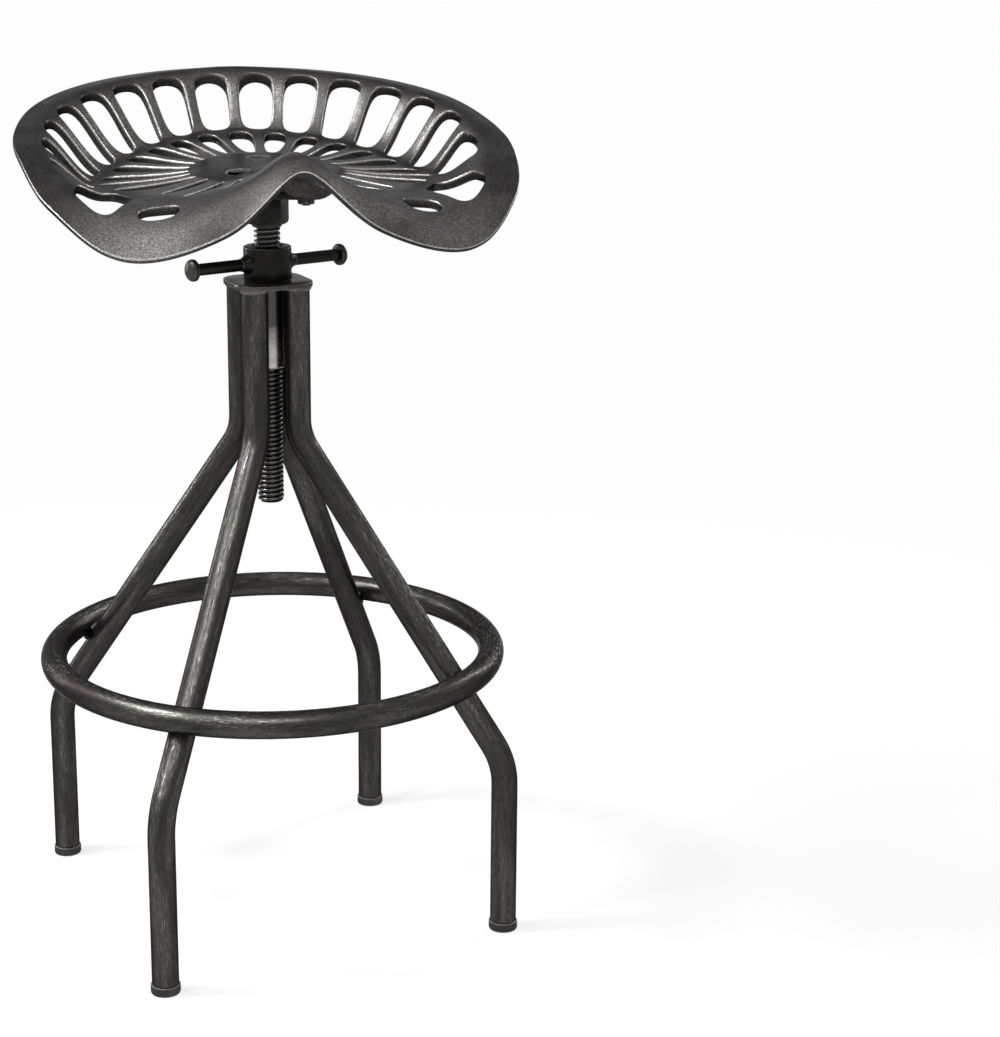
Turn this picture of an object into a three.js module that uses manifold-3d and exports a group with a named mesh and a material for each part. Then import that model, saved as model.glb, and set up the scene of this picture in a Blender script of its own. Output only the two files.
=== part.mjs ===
// Height-adjustable workshop stool with a slotted cast seat pan on a screw spindle.
// Millimetres, +Z up, origin on the floor under the spindle axis, front of the seat towards -Y.
import * as THREE from 'three';
import { mergeVertices } from 'three/addons/utils/BufferGeometryUtils.js';
import Module from 'manifold-3d';

const wasm = await Module();
wasm.setup();

// Shared driving dimensions
const seating_gap = 0.3; // between pieces that touch on the real stool
const cut_overrun = 4; // how far a cutting tool runs past what it cuts
const tube_diameter = 22.2;
const tube_wall = 1.5;
const base_turn_deg = 10.2; // legs stand this far round from the seat's diagonals
const leg_count = 4;

// Legs
const foot_circle_radius = 213.5;
const leg_cluster_radius = 26;
const upper_knee_height = 418;
const lower_knee_height = 151.5;
const upper_knee_radius = 45;
const lower_knee_radius = 60;

// Foot caps
const cap_height = 8.5;
const cap_lip = 1.1; // how far the cap stands out past the tube
const cap_chamfer = 1.2;
const cap_plug_length = 14;
const cap_groove = 0.9;

// Foot ring
const foot_ring_height = 226;

// Top plate and nut sleeve
const plate_top_height = 549;
const plate_thickness = 4;
const plate_overhang = 2; // past the outside of each leg
const plate_waist = 5.5; // how far the outline draws in between two legs
const sleeve_diameter = 28;
const sleeve_length = 69;
const thread_clearance = 0.3;

// Spindle
const spindle_diameter = 22;
const spindle_length = 249.2;
const spindle_chamfer = 2;
const spindle_hold = 12; // length held inside the hexagon boss
const thread_showing = 15.9; // between the lock collar and the boss, as photographed

// Lock collar and its two tommy bars
const collar_diameter = 40;
const collar_height = 28;
const collar_chamfer = 1.5;
const collar_counterbore = 2.2;
const collar_counterbore_depth = 3;
const bar_turn_deg = 22.2;
const bar_diameter = 10;
const bar_reach = 77; // spindle axis to the tip of the domed head
const bar_head_diameter = 18.4;
const bar_head_dome = 5.5;
const bar_head_rim = 3;
const bar_socket_depth = 6.5;
const bar_root_flare = 3.4;
const bar_root_length = 6.5;

// Hexagon boss and mounting flange
const boss_across_flats = 32;
const boss_height = 23;
const boss_chamfer = 2;
const boss_neck_diameter = 25;
const boss_neck_height = 3;
const flange_thickness = 6;
const flange_lobe_radius = 12;
const flange_core_radius = 30;

// Seat fixings
const bolt_turns_deg = [0, 136, -136]; // from the back of the seat
const bolt_count = bolt_turns_deg.length;
const bolt_circle_radius = 40;
const bolt_diameter = 8;
const bolt_head_diameter = 15;
const bolt_head_height = 4.4;
const bolt_head_sink = 2.6; // top of the head below the seat surface
const bolt_socket_across = 5;
const bolt_socket_depth = 2.6;
const bolt_end = 2.5; // thread showing past the nut
const nut_across_flats = 13;
const nut_height = 6.5;
const nut_chamfer = 0.8;

// Seat pan
const seat_half_width = 207.5;
const seat_back_rise = 61.5; // back rim above the disc
const seat_disc_radius = 62;
const rim_band_width = 29;
const rim_edge_thickness = 4.5;
const pan_thickness = 7.6;
const hub_radius = 53;
const hub_root_radius = 60;
const hub_depth = 20.2; // disc surface to the underside of the hub
const rib_width = 9.5;
const inner_rib_width = 8;
const web_width = 6.5; // plain metal between the two rings of slots
const slot_pitch_deg = 13.35;
const outer_slots_left = 7; // past these, each side has openings of its own
const outer_slots_right = 6;
const inner_slots_per_side = 8;
const front_slot_turns_deg = [123, 139, 153];
const front_slot_width = 9;
const front_slot_width_shares = [1, 1, 0.89];
const front_slot_start_shares = [1.04, 1.06, 1.16]; // of the disc's radius
const front_slot_end_shares = [0.77, 0.9, 0.82]; // of the web ring's reach
const lobe_slot_length = 31;
const lobe_slot_width = 17;
const lobe_slot_side_place = 103;
const lobe_slot_front_place = 120;
const lobe_slot_turn_deg = 14;

// Tables down one side of the seat, from the back (0) to the pommel (180) in equal steps.
// Reaches are shares of the seat's half width, rises are shares of the back rim's rise.
const station_step_deg = 20;
const rim_reach_shares = [1, 1, 1.002, 1, 0.988, 0.984, 1.024, 1.005, 0.865, 0.713];
const rim_rise_shares = [1, 0.96, 0.854, 0.667, 0.4, 0.17, -0.293, -0.813, -0.54, 0.154];
const band_width_shares = [1, 0.93, 0.83, 0.81, 0.79, 0.83, 1.02, 1.07, 1.03, 0.9];
const slot_end_rise_shares = [0.951, 0.919, 0.821, 0.659, 0.423, 0.146, -0.163, -0.48, -0.13, 0.35];
const web_reach_shares = [0.72, 0.677, 0.65, 0.649, 0.67, 0.689, 0.689, 0.65, 0.554, 0.472];
const web_rise_shares = [0.195, 0.154, 0.057, -0.076, -0.2, -0.215, -0.26, -0.23, -0.04, 0.3];
const disc_rise_shares = [0, -0.008, -0.033, -0.065, -0.098, -0.106, -0.114, -0.122, -0.033, 0.098];
const inner_start_shares = [1.2, 1.17, 1.1, 1.05, 1.02, 1.02, 1.02, 1.04, 1.1, 1.2];

// Openings that end the outer ring at either side, as the casting has them: for each corner its
// angle in degrees from the back, its reach as a share of the slot end's reach and its rounding
// as a share of the corner rounding.
const corner_rounding = 10;
const narrow_slot_shares = [[95.8, 1, 0.6], [101, 0.99, 0.6], [101, 0.81, 0.4], [96, 0.81, 0.4]];
const wide_slot_shares = [[81.9, 1, 1.4], [100, 1, 1.4], [94.5, 0.775, 0.9], [82.3, 0.775, 0.9]];
const corner_slot_shares = [[107, 1.02, 1.3], [131, 1.045, 1.7], [124.3, 0.75, 0.6], [101, 0.775, 0.6]];

// How finely round shapes are divided
const tube_sides = 14;
const bore_sides = 10;
const ring_steps = 44;
const knee_steps = 4;
const round_sides = 24;
const small_sides = 12;
const pan_spoke_count = 64;
const pan_disc_ring_count = 1;
const pan_zone_ring_counts = [2, 3, 2];
const slot_corner_steps = 2;

const tube_radius = tube_diameter / 2;
const spindle_radius = spindle_diameter / 2;
const sleeve_radius = sleeve_diameter / 2;
const collar_radius = collar_diameter / 2;
const bar_radius = bar_diameter / 2;
const bolt_radius = bolt_diameter / 2;
const thread_bore_radius = spindle_radius + thread_clearance;
const leg_top = plate_top_height - plate_thickness - seating_gap;
const leg_foot = cap_height + seating_gap;
const boss_underside = plate_top_height + seating_gap + collar_height + thread_showing + boss_neck_height;
const boss_top = boss_underside + boss_height;
const flange_underside = boss_top + seating_gap;
const flange_top = flange_underside + flange_thickness;
const hub_underside = flange_top + seating_gap;
const seat_height = hub_underside + hub_depth; // floor to the middle of the seat disc
const radians = THREE.MathUtils.degToRad;

// Materials
const frame_metal = new THREE.MeshStandardMaterial({ color: 0x45454a, roughness: 0.42, metalness: 0.85 });
const seat_metal = new THREE.MeshStandardMaterial({ color: 0x4a494d, roughness: 0.38, metalness: 0.85 });
const dark_metal = new THREE.MeshStandardMaterial({ color: 0x1f1f22, roughness: 0.5, metalness: 0.8 });
const bright_metal = new THREE.MeshStandardMaterial({ color: 0x8f8f90, roughness: 0.35, metalness: 0.95 });
const cap_black = new THREE.MeshStandardMaterial({ color: 0x2a2a2d, roughness: 0.55, metalness: 0.4 });

// Solid helpers

function toSolid(geometry) {
  const plain = geometry.clone();
  for (const name of Object.keys(plain.attributes)) {
    if (name !== 'position') plain.deleteAttribute(name);
  }
  const merged = mergeVertices(plain, seating_gap / 1000);
  return new wasm.Manifold(new wasm.Mesh({
    numProp: 3,
    vertProperties: new Float32Array(merged.attributes.position.array),
    triVerts: new Uint32Array(merged.index.array),
  }));
}

function toGeometry(solid) {
  const mesh = solid.getMesh();
  const geometry = new THREE.BufferGeometry();
  geometry.setAttribute('position', new THREE.Float32BufferAttribute(mesh.vertProperties, mesh.numProp));
  geometry.setIndex(new THREE.Uint32BufferAttribute(mesh.triVerts, 1));
  geometry.computeVertexNormals();
  return geometry;
}

// A turned piece about +Z, from [radius, height] pairs running up its outside.
function turned(profile, sides) {
  const points = profile.map(([radius, height]) => new THREE.Vector2(radius, height));
  return new THREE.LatheGeometry(points, sides).rotateX(Math.PI / 2);
}

// A ring-shaped turned piece, its profile closed on itself.
function turnedRing(profile, sides) {
  return turned([...profile, profile[0]], sides);
}

function prism(shape, bottom, top, steps) {
  const geometry = new THREE.ExtrudeGeometry(shape, {
    depth: top - bottom,
    bevelEnabled: false,
    curveSegments: steps,
  });
  return geometry.translate(0, 0, bottom);
}

// A regular hexagon prism with turned chamfers at its ends.
function hexagonBlank(across_flats, bottom, top, chamfer_bottom, chamfer_top) {
  const corner_radius = across_flats / Math.sqrt(3);
  const outline = new THREE.Shape();
  for (let corner = 0; corner < 6; corner += 1) {
    const angle = (corner * Math.PI) / 3;
    const x = corner_radius * Math.cos(angle);
    const y = corner_radius * Math.sin(angle);
    if (corner === 0) outline.moveTo(x, y);
    else outline.lineTo(x, y);
  }
  outline.closePath();
  const envelope = turned([
    [0, bottom],
    [corner_radius - chamfer_bottom, bottom],
    [corner_radius + seating_gap, bottom + (chamfer_bottom + seating_gap) / 2],
    [corner_radius + seating_gap, top - (chamfer_top + seating_gap) / 2],
    [corner_radius - chamfer_top, top],
    [0, top],
  ], round_sides);
  return toSolid(prism(outline, bottom, top, 1)).intersect(toSolid(envelope));
}

// A straight round cutter or bar along +Z.
function cylinder(radius, bottom, top, sides) {
  return toSolid(turned([[0, bottom], [radius, bottom], [radius, top], [0, top]], sides));
}

// A polygon with each corner rounded off by its own radius.
function roundedOutline(corners, rounds) {
  const outline = new THREE.Shape();
  corners.forEach((corner, index) => {
    const before = corners[(index + corners.length - 1) % corners.length];
    const after = corners[(index + 1) % corners.length];
    const back = before.clone().sub(corner).setLength(rounds[index]).add(corner);
    const ahead = after.clone().sub(corner).setLength(rounds[index]).add(corner);
    if (index === 0) outline.moveTo(back.x, back.y);
    else outline.lineTo(back.x, back.y);
    outline.quadraticCurveTo(corner.x, corner.y, ahead.x, ahead.y);
  });
  outline.closePath();
  return outline;
}

// Legs: a tube bent twice in one upright plane

// The centre line of a leg as a list of stations, close together only round the two knees.
class LegLine extends THREE.Curve {
  constructor() {
    super();
    const head = new THREE.Vector3(leg_cluster_radius, 0, leg_top);
    const upper_knee = new THREE.Vector3(leg_cluster_radius, 0, upper_knee_height);
    const lower_knee = new THREE.Vector3(foot_circle_radius, 0, lower_knee_height);
    const foot = new THREE.Vector3(foot_circle_radius, 0, leg_foot);
    this.stations = [
      head,
      ...LegLine.knee(head, upper_knee, lower_knee, upper_knee_radius),
      ...LegLine.knee(upper_knee, lower_knee, foot, lower_knee_radius),
      foot,
    ];
  }

  // Points along the arc that rounds the corner at one knee.
  static knee(before, corner, after, bend_radius) {
    const arriving = corner.clone().sub(before).normalize();
    const leaving = after.clone().sub(corner).normalize();
    const turn = arriving.angleTo(leaving);
    const setback = bend_radius * Math.tan(turn / 2);
    const start = corner.clone().addScaledVector(arriving, -setback);
    const inward = leaving.clone().addScaledVector(arriving, -leaving.dot(arriving)).normalize();
    const points = [];
    for (let step = 0; step <= knee_steps; step += 1) {
      const angle = (turn * step) / knee_steps;
      points.push(start.clone()
        .addScaledVector(arriving, bend_radius * Math.sin(angle))
        .addScaledVector(inward, bend_radius * (1 - Math.cos(angle))));
    }
    return points;
  }

  get steps() {
    return this.stations.length - 1;
  }

  getPoint(share, target = new THREE.Vector3()) {
    const place = share * this.steps;
    const index = Math.min(Math.floor(place), this.steps - 1);
    return target.lerpVectors(this.stations[index], this.stations[index + 1], place - index);
  }

  // At a station the section faces halfway between the two runs that meet there.
  getTangent(share, target = new THREE.Vector3()) {
    const index = Math.round(share * this.steps);
    const before = this.stations[Math.max(index - 1, 0)];
    const after = this.stations[Math.min(index + 1, this.steps)];
    const here = this.stations[index];
    const arriving = here.clone().sub(before).normalize();
    const leaving = after.clone().sub(here).normalize();
    return target.addVectors(arriving, leaving).normalize();
  }

  getUtoTmapping(share) {
    return share;
  }
}

function legGeometry() {
  const line = new LegLine();
  const section = new THREE.Shape();
  section.setFromPoints(circlePoints(tube_radius, tube_sides));
  const bore = new THREE.Path();
  bore.setFromPoints(circlePoints(tube_radius - tube_wall, bore_sides));
  section.holes.push(bore);
  return new THREE.ExtrudeGeometry(section, { steps: line.steps, extrudePath: line, bevelEnabled: false });
}

function circlePoints(radius, sides) {
  const points = [];
  for (let side = 0; side < sides; side += 1) {
    const angle = (2 * Math.PI * side) / sides;
    points.push(new THREE.Vector2(radius * Math.cos(angle), radius * Math.sin(angle)));
  }
  return points;
}

// A pressed cap: its skirt carries the tube's end, its plug sits inside the tube.
function footCapGeometry() {
  const skirt_radius = tube_radius + cap_lip;
  const plug_radius = (tube_radius - tube_wall) * Math.cos(Math.PI / bore_sides) - seating_gap;
  return turned([
    [0, 0],
    [skirt_radius - cap_chamfer, 0],
    [skirt_radius, cap_chamfer],
    [skirt_radius, cap_height - cap_groove],
    [skirt_radius - cap_groove, cap_height],
    [plug_radius, cap_height],
    [plug_radius, cap_height + cap_plug_length - cap_chamfer],
    [plug_radius - cap_chamfer, cap_height + cap_plug_length],
    [0, cap_height + cap_plug_length],
  ], tube_sides);
}

// The ring lies against the outside of the sloping runs of all four legs.
function footRingRadius() {
  const run = foot_circle_radius - leg_cluster_radius;
  const drop = upper_knee_height - lower_knee_height;
  const slope_length = Math.hypot(run, drop);
  const reach = tube_diameter + seating_gap;
  const touch_height = foot_ring_height - (reach * run) / slope_length;
  const leg_radius = leg_cluster_radius + ((upper_knee_height - touch_height) * run) / drop;
  return leg_radius + (reach * drop) / slope_length;
}

// Top plate: a lobe over each leg, drawn in between them
function topPlateGeometry() {
  const lobe_reach = leg_cluster_radius + tube_radius + plate_overhang;
  const outline = new THREE.Shape();
  const points = [];
  for (let side = 0; side < 2 * round_sides; side += 1) {
    const angle = (Math.PI * side) / round_sides;
    const reach = lobe_reach - (plate_waist * (1 - Math.cos(leg_count * angle))) / 2;
    points.push(new THREE.Vector2(reach * Math.cos(angle), reach * Math.sin(angle)));
  }
  outline.setFromPoints(points);
  const hole = new THREE.Path();
  hole.setFromPoints(circlePoints(thread_bore_radius, round_sides));
  outline.holes.push(hole);
  return prism(outline, plate_top_height - plate_thickness, plate_top_height, 1);
}

function sleeveGeometry() {
  const top = plate_top_height - plate_thickness - seating_gap;
  const bottom = top - sleeve_length;
  return turnedRing([
    [thread_bore_radius, bottom],
    [sleeve_radius, bottom],
    [sleeve_radius, top],
    [thread_bore_radius, top],
  ], round_sides);
}

function spindleGeometry() {
  const top = boss_underside + spindle_hold;
  const foot = top - spindle_length;
  return turned([
    [0, foot],
    [spindle_radius - spindle_chamfer, foot],
    [spindle_radius, foot + spindle_chamfer],
    [spindle_radius, top],
    [0, top],
  ], round_sides);
}

// Lock collar: a round nut with two radial sockets for the bars
function collarGeometry() {
  const bottom = plate_top_height + seating_gap;
  const top = bottom + collar_height;
  const bar_height = (bottom + top) / 2;
  const body = toSolid(turnedRing([
    [thread_bore_radius, bottom],
    [collar_radius - collar_chamfer, bottom],
    [collar_radius, bottom + collar_chamfer],
    [collar_radius, top - collar_chamfer],
    [collar_radius - collar_chamfer, top],
    [thread_bore_radius + collar_counterbore, top],
    [thread_bore_radius, top - collar_counterbore_depth],
  ], round_sides));
  const socket_radius = bar_radius + seating_gap;
  const socket_floor = collar_radius - bar_socket_depth - seating_gap;
  const socket = toSolid(turned([
    [0, socket_floor],
    [socket_radius, socket_floor],
    [socket_radius, collar_radius + cut_overrun],
    [0, collar_radius + cut_overrun],
  ], small_sides).rotateY(Math.PI / 2).translate(0, 0, bar_height));
  return toGeometry(body.subtract(socket).subtract(socket.rotate([0, 0, 180])));
}

// A tommy bar along +X at spindle height zero: domed head outside, flared root at the collar
function barGeometry() {
  const head_radius = bar_head_diameter / 2;
  const shaft_end = bar_reach - bar_head_dome - bar_head_rim;
  const dome = [];
  for (let step = 0; step <= knee_steps; step += 1) {
    const angle = (step * Math.PI) / 2 / knee_steps;
    dome.push([head_radius * Math.cos(angle), bar_reach - bar_head_dome * (1 - Math.sin(angle))]);
  }
  const shaft = toSolid(turned([
    [0, collar_radius - bar_socket_depth],
    [bar_radius, collar_radius - bar_socket_depth],
    [bar_radius, shaft_end],
    [head_radius - bar_head_rim / 2, shaft_end],
    ...dome.map(([radius, place], index) => [index === knee_steps ? 0 : radius, place]),
  ], small_sides));
  const flare = toSolid(turned([
    [0, collar_radius - bar_root_flare],
    [bar_radius + bar_root_flare, collar_radius - bar_root_flare],
    [bar_radius + bar_root_flare, collar_radius],
    [bar_radius + bar_root_flare / 3, collar_radius + bar_root_length / 2],
    [bar_radius, collar_radius + bar_root_length],
    [0, collar_radius + bar_root_length],
  ], small_sides));
  const along_x = [0, 90, 0];
  const keep_out = cylinder(collar_radius + seating_gap, -collar_height, collar_height, round_sides);
  const root = flare.rotate(along_x).subtract(keep_out);
  return toGeometry(shaft.rotate(along_x).add(root));
}

// Hexagon boss: hexagon above, turned neck below, blind hole for the spindle
function bossGeometry() {
  const hexagon = hexagonBlank(boss_across_flats, boss_underside, boss_top, boss_chamfer, 0);
  const neck_radius = boss_neck_diameter / 2;
  const neck_foot = boss_underside - boss_neck_height;
  const neck = toSolid(turned([
    [0, neck_foot],
    [neck_radius - seating_gap, neck_foot],
    [neck_radius, neck_foot + boss_neck_height / 2],
    [neck_radius, boss_underside + boss_chamfer],
    [0, boss_underside + boss_chamfer],
  ], round_sides));
  const hole = cylinder(
    spindle_radius + seating_gap,
    neck_foot - cut_overrun,
    boss_underside + spindle_hold + seating_gap,
    round_sides,
  );
  return toGeometry(hexagon.add(neck).subtract(hole));
}

// Bolts stand at the back and towards the two front corners of the disc.
function boltTurn(index) {
  return Math.PI / 2 + radians(bolt_turns_deg[index]);
}

// Mounting flange: three bolt ears on a round core
function flangeGeometry() {
  let plate = cylinder(flange_core_radius, flange_underside, flange_top, round_sides);
  for (let index = 0; index < bolt_count; index += 1) {
    const x = bolt_circle_radius * Math.cos(boltTurn(index));
    const y = bolt_circle_radius * Math.sin(boltTurn(index));
    const ear = cylinder(flange_lobe_radius, flange_underside, flange_top, round_sides);
    const core = cylinder(flange_core_radius, flange_underside, flange_top, round_sides);
    plate = plate.add(wasm.Manifold.hull([ear.translate([x, y, 0]), core]));
  }
  for (let index = 0; index < bolt_count; index += 1) {
    const x = bolt_circle_radius * Math.cos(boltTurn(index));
    const y = bolt_circle_radius * Math.sin(boltTurn(index));
    const hole = cylinder(
      bolt_radius + seating_gap,
      flange_underside - cut_overrun,
      flange_top + cut_overrun,
      small_sides,
    );
    plate = plate.subtract(hole.translate([x, y, 0]));
  }
  return toGeometry(plate);
}

// Seat pan surface

// Smooth value of a one-sided table at any turn, mirrored across the seat's middle plane.
function atTurn(shares, turn) {
  const last = shares.length - 1;
  const folded = Math.abs(THREE.MathUtils.euclideanModulo(turn + Math.PI, 2 * Math.PI) - Math.PI);
  const place = Math.min(folded / radians(station_step_deg), last);
  const index = Math.min(Math.floor(place), last - 1);
  const part = place - index;
  const mirrored = (at) => shares[at > last ? 2 * last - at : Math.abs(at)];
  const [a, b, c, d] = [index - 1, index, index + 1, index + 2].map(mirrored);
  const rise = (c - a) / 2;
  const next_rise = (d - b) / 2;
  return b + part * (rise + part * (3 * (c - b) - 2 * rise - next_rise
    + part * (2 * (b - c) + rise + next_rise)));
}

const rimReach = (turn) => seat_half_width * atTurn(rim_reach_shares, turn);
const slotEndReach = (turn) => rimReach(turn) - rim_band_width * atTurn(band_width_shares, turn);
const webReach = (turn) => seat_half_width * atTurn(web_reach_shares, turn);

// Height of the seat's upper surface over the disc's middle, along one spoke.
function surfaceRise(turn, reach) {
  const disc_edge = seat_back_rise * atTurn(disc_rise_shares, turn);
  if (reach <= seat_disc_radius) return disc_edge * (reach / seat_disc_radius) ** 2;
  const places = [seat_disc_radius, webReach(turn), slotEndReach(turn), rimReach(turn)];
  const rises = [
    disc_edge,
    seat_back_rise * atTurn(web_rise_shares, turn),
    seat_back_rise * atTurn(slot_end_rise_shares, turn),
    seat_back_rise * atTurn(rim_rise_shares, turn),
  ];
  const slope = (from) => (rises[from + 1] - rises[from]) / (places[from + 1] - places[from]);
  // The dish stays flat up to the web and turns up sharply there, without dipping.
  const same_way = slope(0) * slope(1) > 0;
  const turned = same_way ? (2 * slope(0) * slope(1)) / (slope(0) + slope(1)) : 0;
  const before = places[2] - places[1];
  const after = places[3] - places[2];
  const blended = (slope(1) * after + slope(2) * before) / (before + after);
  const slopes = [2 * disc_edge / seat_disc_radius, turned, blended, slope(2)];
  let zone = 0;
  while (zone < 2 && reach > places[zone + 1]) zone += 1;
  const length = places[zone + 1] - places[zone];
  const part = (reach - places[zone]) / length;
  const start = rises[zone];
  const change = rises[zone + 1] - start;
  const leaving = slopes[zone] * length;
  const arriving = slopes[zone + 1] * length;
  return start + part * (leaving + part * (3 * change - 2 * leaving - arriving
    + part * (leaving + arriving - 2 * change)));
}

// The wall thins from the slot ends to the rim's edge.
function wallThickness(turn, reach) {
  const band = rimReach(turn) - slotEndReach(turn);
  const thinning = THREE.MathUtils.clamp((reach - slotEndReach(turn)) / band, 0, 1);
  return THREE.MathUtils.lerp(pan_thickness, rim_edge_thickness, thinning);
}

// A point of the upper surface. Turn 0 is the back of the seat, and turns run towards -X.
function surfacePoint(turn, reach) {
  const angle = Math.PI / 2 + turn;
  return new THREE.Vector3(
    reach * Math.cos(angle),
    reach * Math.sin(angle),
    seat_height + surfaceRise(turn, reach),
  );
}

// The same point moved square to the surface, into the wall.
function panPoint(turn, reach, depth) {
  const point = surfacePoint(turn, reach);
  const across = seating_gap / seat_half_width;
  const outward = surfacePoint(turn, reach).sub(surfacePoint(turn, reach - seating_gap));
  const around = surfacePoint(turn + across, reach).sub(surfacePoint(turn - across, reach));
  const inward = around.cross(outward).setLength(depth);
  return point.add(inward).toArray();
}

// Distances of the pan's rings along one spoke, from the first ring to the rim.
function ringReaches(turn) {
  const stops = [seat_disc_radius, webReach(turn), slotEndReach(turn), rimReach(turn)];
  const reaches = [];
  for (let ring = 1; ring <= pan_disc_ring_count; ring += 1) {
    reaches.push((seat_disc_radius * ring) / pan_disc_ring_count);
  }
  pan_zone_ring_counts.forEach((rings, zone) => {
    for (let ring = 1; ring <= rings; ring += 1) {
      reaches.push(THREE.MathUtils.lerp(stops[zone], stops[zone + 1], ring / rings));
    }
  });
  return reaches;
}

// The pan before its slots are cut: an upper and a lower skin joined round the rim.
function panBlank() {
  const corners = [];
  const faces = [];
  const ring_count = ringReaches(0).length;
  const skin = ring_count * pan_spoke_count + 1;
  for (const lower of [false, true]) {
    corners.push(0, 0, seat_height - (lower ? pan_thickness : 0));
    for (let spoke = 0; spoke < pan_spoke_count; spoke += 1) {
      const turn = (2 * Math.PI * spoke) / pan_spoke_count;
      for (const reach of ringReaches(turn)) {
        corners.push(...panPoint(turn, reach, lower ? wallThickness(turn, reach) : 0));
      }
    }
  }
  const at = (spoke, ring) => 1 + (spoke % pan_spoke_count) * ring_count + ring;
  for (let spoke = 0; spoke < pan_spoke_count; spoke += 1) {
    faces.push([0, at(spoke, 0), at(spoke + 1, 0)]);
    faces.push([skin, skin + at(spoke + 1, 0), skin + at(spoke, 0)]);
    for (let ring = 0; ring < ring_count - 1; ring += 1) {
      const [a, b] = [at(spoke, ring), at(spoke, ring + 1)];
      const [c, d] = [at(spoke + 1, ring + 1), at(spoke + 1, ring)];
      faces.push([a, b, c], [a, c, d]);
      faces.push([skin + a, skin + c, skin + b], [skin + a, skin + d, skin + c]);
    }
    const [e, f] = [at(spoke, ring_count - 1), at(spoke + 1, ring_count - 1)];
    faces.push([e, skin + e, skin + f], [e, skin + f, f]);
  }
  const geometry = new THREE.BufferGeometry();
  geometry.setAttribute('position', new THREE.Float32BufferAttribute(corners, 3));
  geometry.setIndex(faces.flat());
  return toSolid(geometry);
}

// A point of the pan's plan view.
function planPoint(turn, reach) {
  const angle = Math.PI / 2 + turn;
  return new THREE.Vector2(reach * Math.cos(angle), reach * Math.sin(angle));
}

// A slot that runs out along a spoke, leaving the same width of rib on either side.
function spokeSlot(turn, start, end, rib) {
  const half_pitch = radians(slot_pitch_deg) / 2;
  const half_start = start * Math.tan(half_pitch) - rib / 2;
  const half_end = end * Math.tan(half_pitch) - rib / 2;
  const along = planPoint(turn, 1);
  const across = new THREE.Vector2(-along.y, along.x);
  const corner = (reach, side) => along.clone().multiplyScalar(reach).addScaledVector(across, side);
  return roundedOutline(
    [corner(start, -half_start), corner(end, -half_end), corner(end, half_end), corner(start, half_start)],
    [half_start, half_end, half_end, half_start].map((half, index) => half * (index % 3 ? 0.85 : 0.97)),
  );
}

// An opening given by its corners, on the side where turns are of that sign.
function corneredSlot(side, corners) {
  const points = corners.map(([degrees, share]) => {
    const turn = side * radians(degrees);
    return planPoint(turn, slotEndReach(turn) * share);
  });
  return roundedOutline(points, corners.map((corner) => corner[2] * corner_rounding));
}

// A straight slot of even width with rounded ends.
function straightSlot(middle, direction, length, width) {
  const along = direction.clone().setLength(length / 2);
  const across = new THREE.Vector2(-direction.y, direction.x).setLength(width / 2);
  const corners = [[-1, -1], [1, -1], [1, 1], [-1, 1]].map(([u, v]) => (
    middle.clone().addScaledVector(along, u).addScaledVector(across, v)));
  return roundedOutline(corners, corners.map(() => (width / 2) * 0.97));
}

// Outlines of every opening through the pan.
function slotOutlines() {
  const outlines = [];
  const pitch = radians(slot_pitch_deg);
  for (const side of [-1, 1]) {
    const regular_slots = side > 0 ? outer_slots_left : outer_slots_right;
    for (let index = 0; index < regular_slots; index += 1) {
      const turn = side * pitch * (index + 1 / 2);
      outlines.push(spokeSlot(turn, webReach(turn), slotEndReach(turn), rib_width));
    }
    outlines.push(corneredSlot(side, side > 0 ? narrow_slot_shares : wide_slot_shares));
    outlines.push(corneredSlot(side, corner_slot_shares));
    front_slot_turns_deg.forEach((degrees, index) => {
      const turn = side * radians(degrees);
      const start = seat_disc_radius * front_slot_start_shares[index];
      const end = webReach(turn) * front_slot_end_shares[index];
      const middle = planPoint(turn, (start + end) / 2);
      const width = front_slot_width * front_slot_width_shares[index];
      outlines.push(straightSlot(middle, planPoint(turn, 1), end - start, width));
    });
    const lean = radians(lobe_slot_turn_deg);
    outlines.push(straightSlot(
      new THREE.Vector2(-side * lobe_slot_side_place, -lobe_slot_front_place),
      new THREE.Vector2(-side * Math.cos(lean), Math.sin(lean)),
      lobe_slot_length,
      lobe_slot_width,
    ));
  }
  for (let index = -inner_slots_per_side; index <= inner_slots_per_side; index += 1) {
    const turn = pitch * index;
    const start = seat_disc_radius * atTurn(inner_start_shares, turn);
    outlines.push(spokeSlot(turn, start, webReach(turn) - web_width, inner_rib_width));
  }
  return outlines;
}

function seatPanGeometry() {
  const lowest = seat_height - 2 * seat_back_rise;
  const highest = seat_height + 2 * seat_back_rise;
  const cutters = slotOutlines().map((outline) => (
    toSolid(prism(outline, lowest, highest, slot_corner_steps))));
  const hub = toSolid(turned([
    [0, hub_underside],
    [hub_radius, hub_underside],
    [hub_root_radius, seat_height - pan_thickness],
    [0, seat_height - pan_thickness / 2],
  ], 2 * round_sides));
  let pan = panBlank().add(hub);
  pan = pan.subtract(wasm.Manifold.union(cutters));
  for (let index = 0; index < bolt_count; index += 1) {
    const recess_radius = bolt_head_diameter / 2 + seating_gap;
    const head_top = seat_height - bolt_head_sink;
    const head_foot = head_top - bolt_head_height;
    const recess = toSolid(turned([
      [0, hub_underside - cut_overrun],
      [bolt_radius + seating_gap, hub_underside - cut_overrun],
      [bolt_radius + seating_gap, head_foot - seating_gap],
      [recess_radius, head_top - seating_gap],
      [recess_radius + bolt_head_sink, seat_height],
      [recess_radius + bolt_head_sink + cut_overrun, seat_height + cut_overrun],
      [0, seat_height + cut_overrun],
    ], 2 * small_sides));
    const x = bolt_circle_radius * Math.cos(boltTurn(index));
    const y = bolt_circle_radius * Math.sin(boltTurn(index));
    pan = pan.subtract(recess.translate([x, y, 0]));
  }
  return toGeometry(pan);
}

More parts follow.
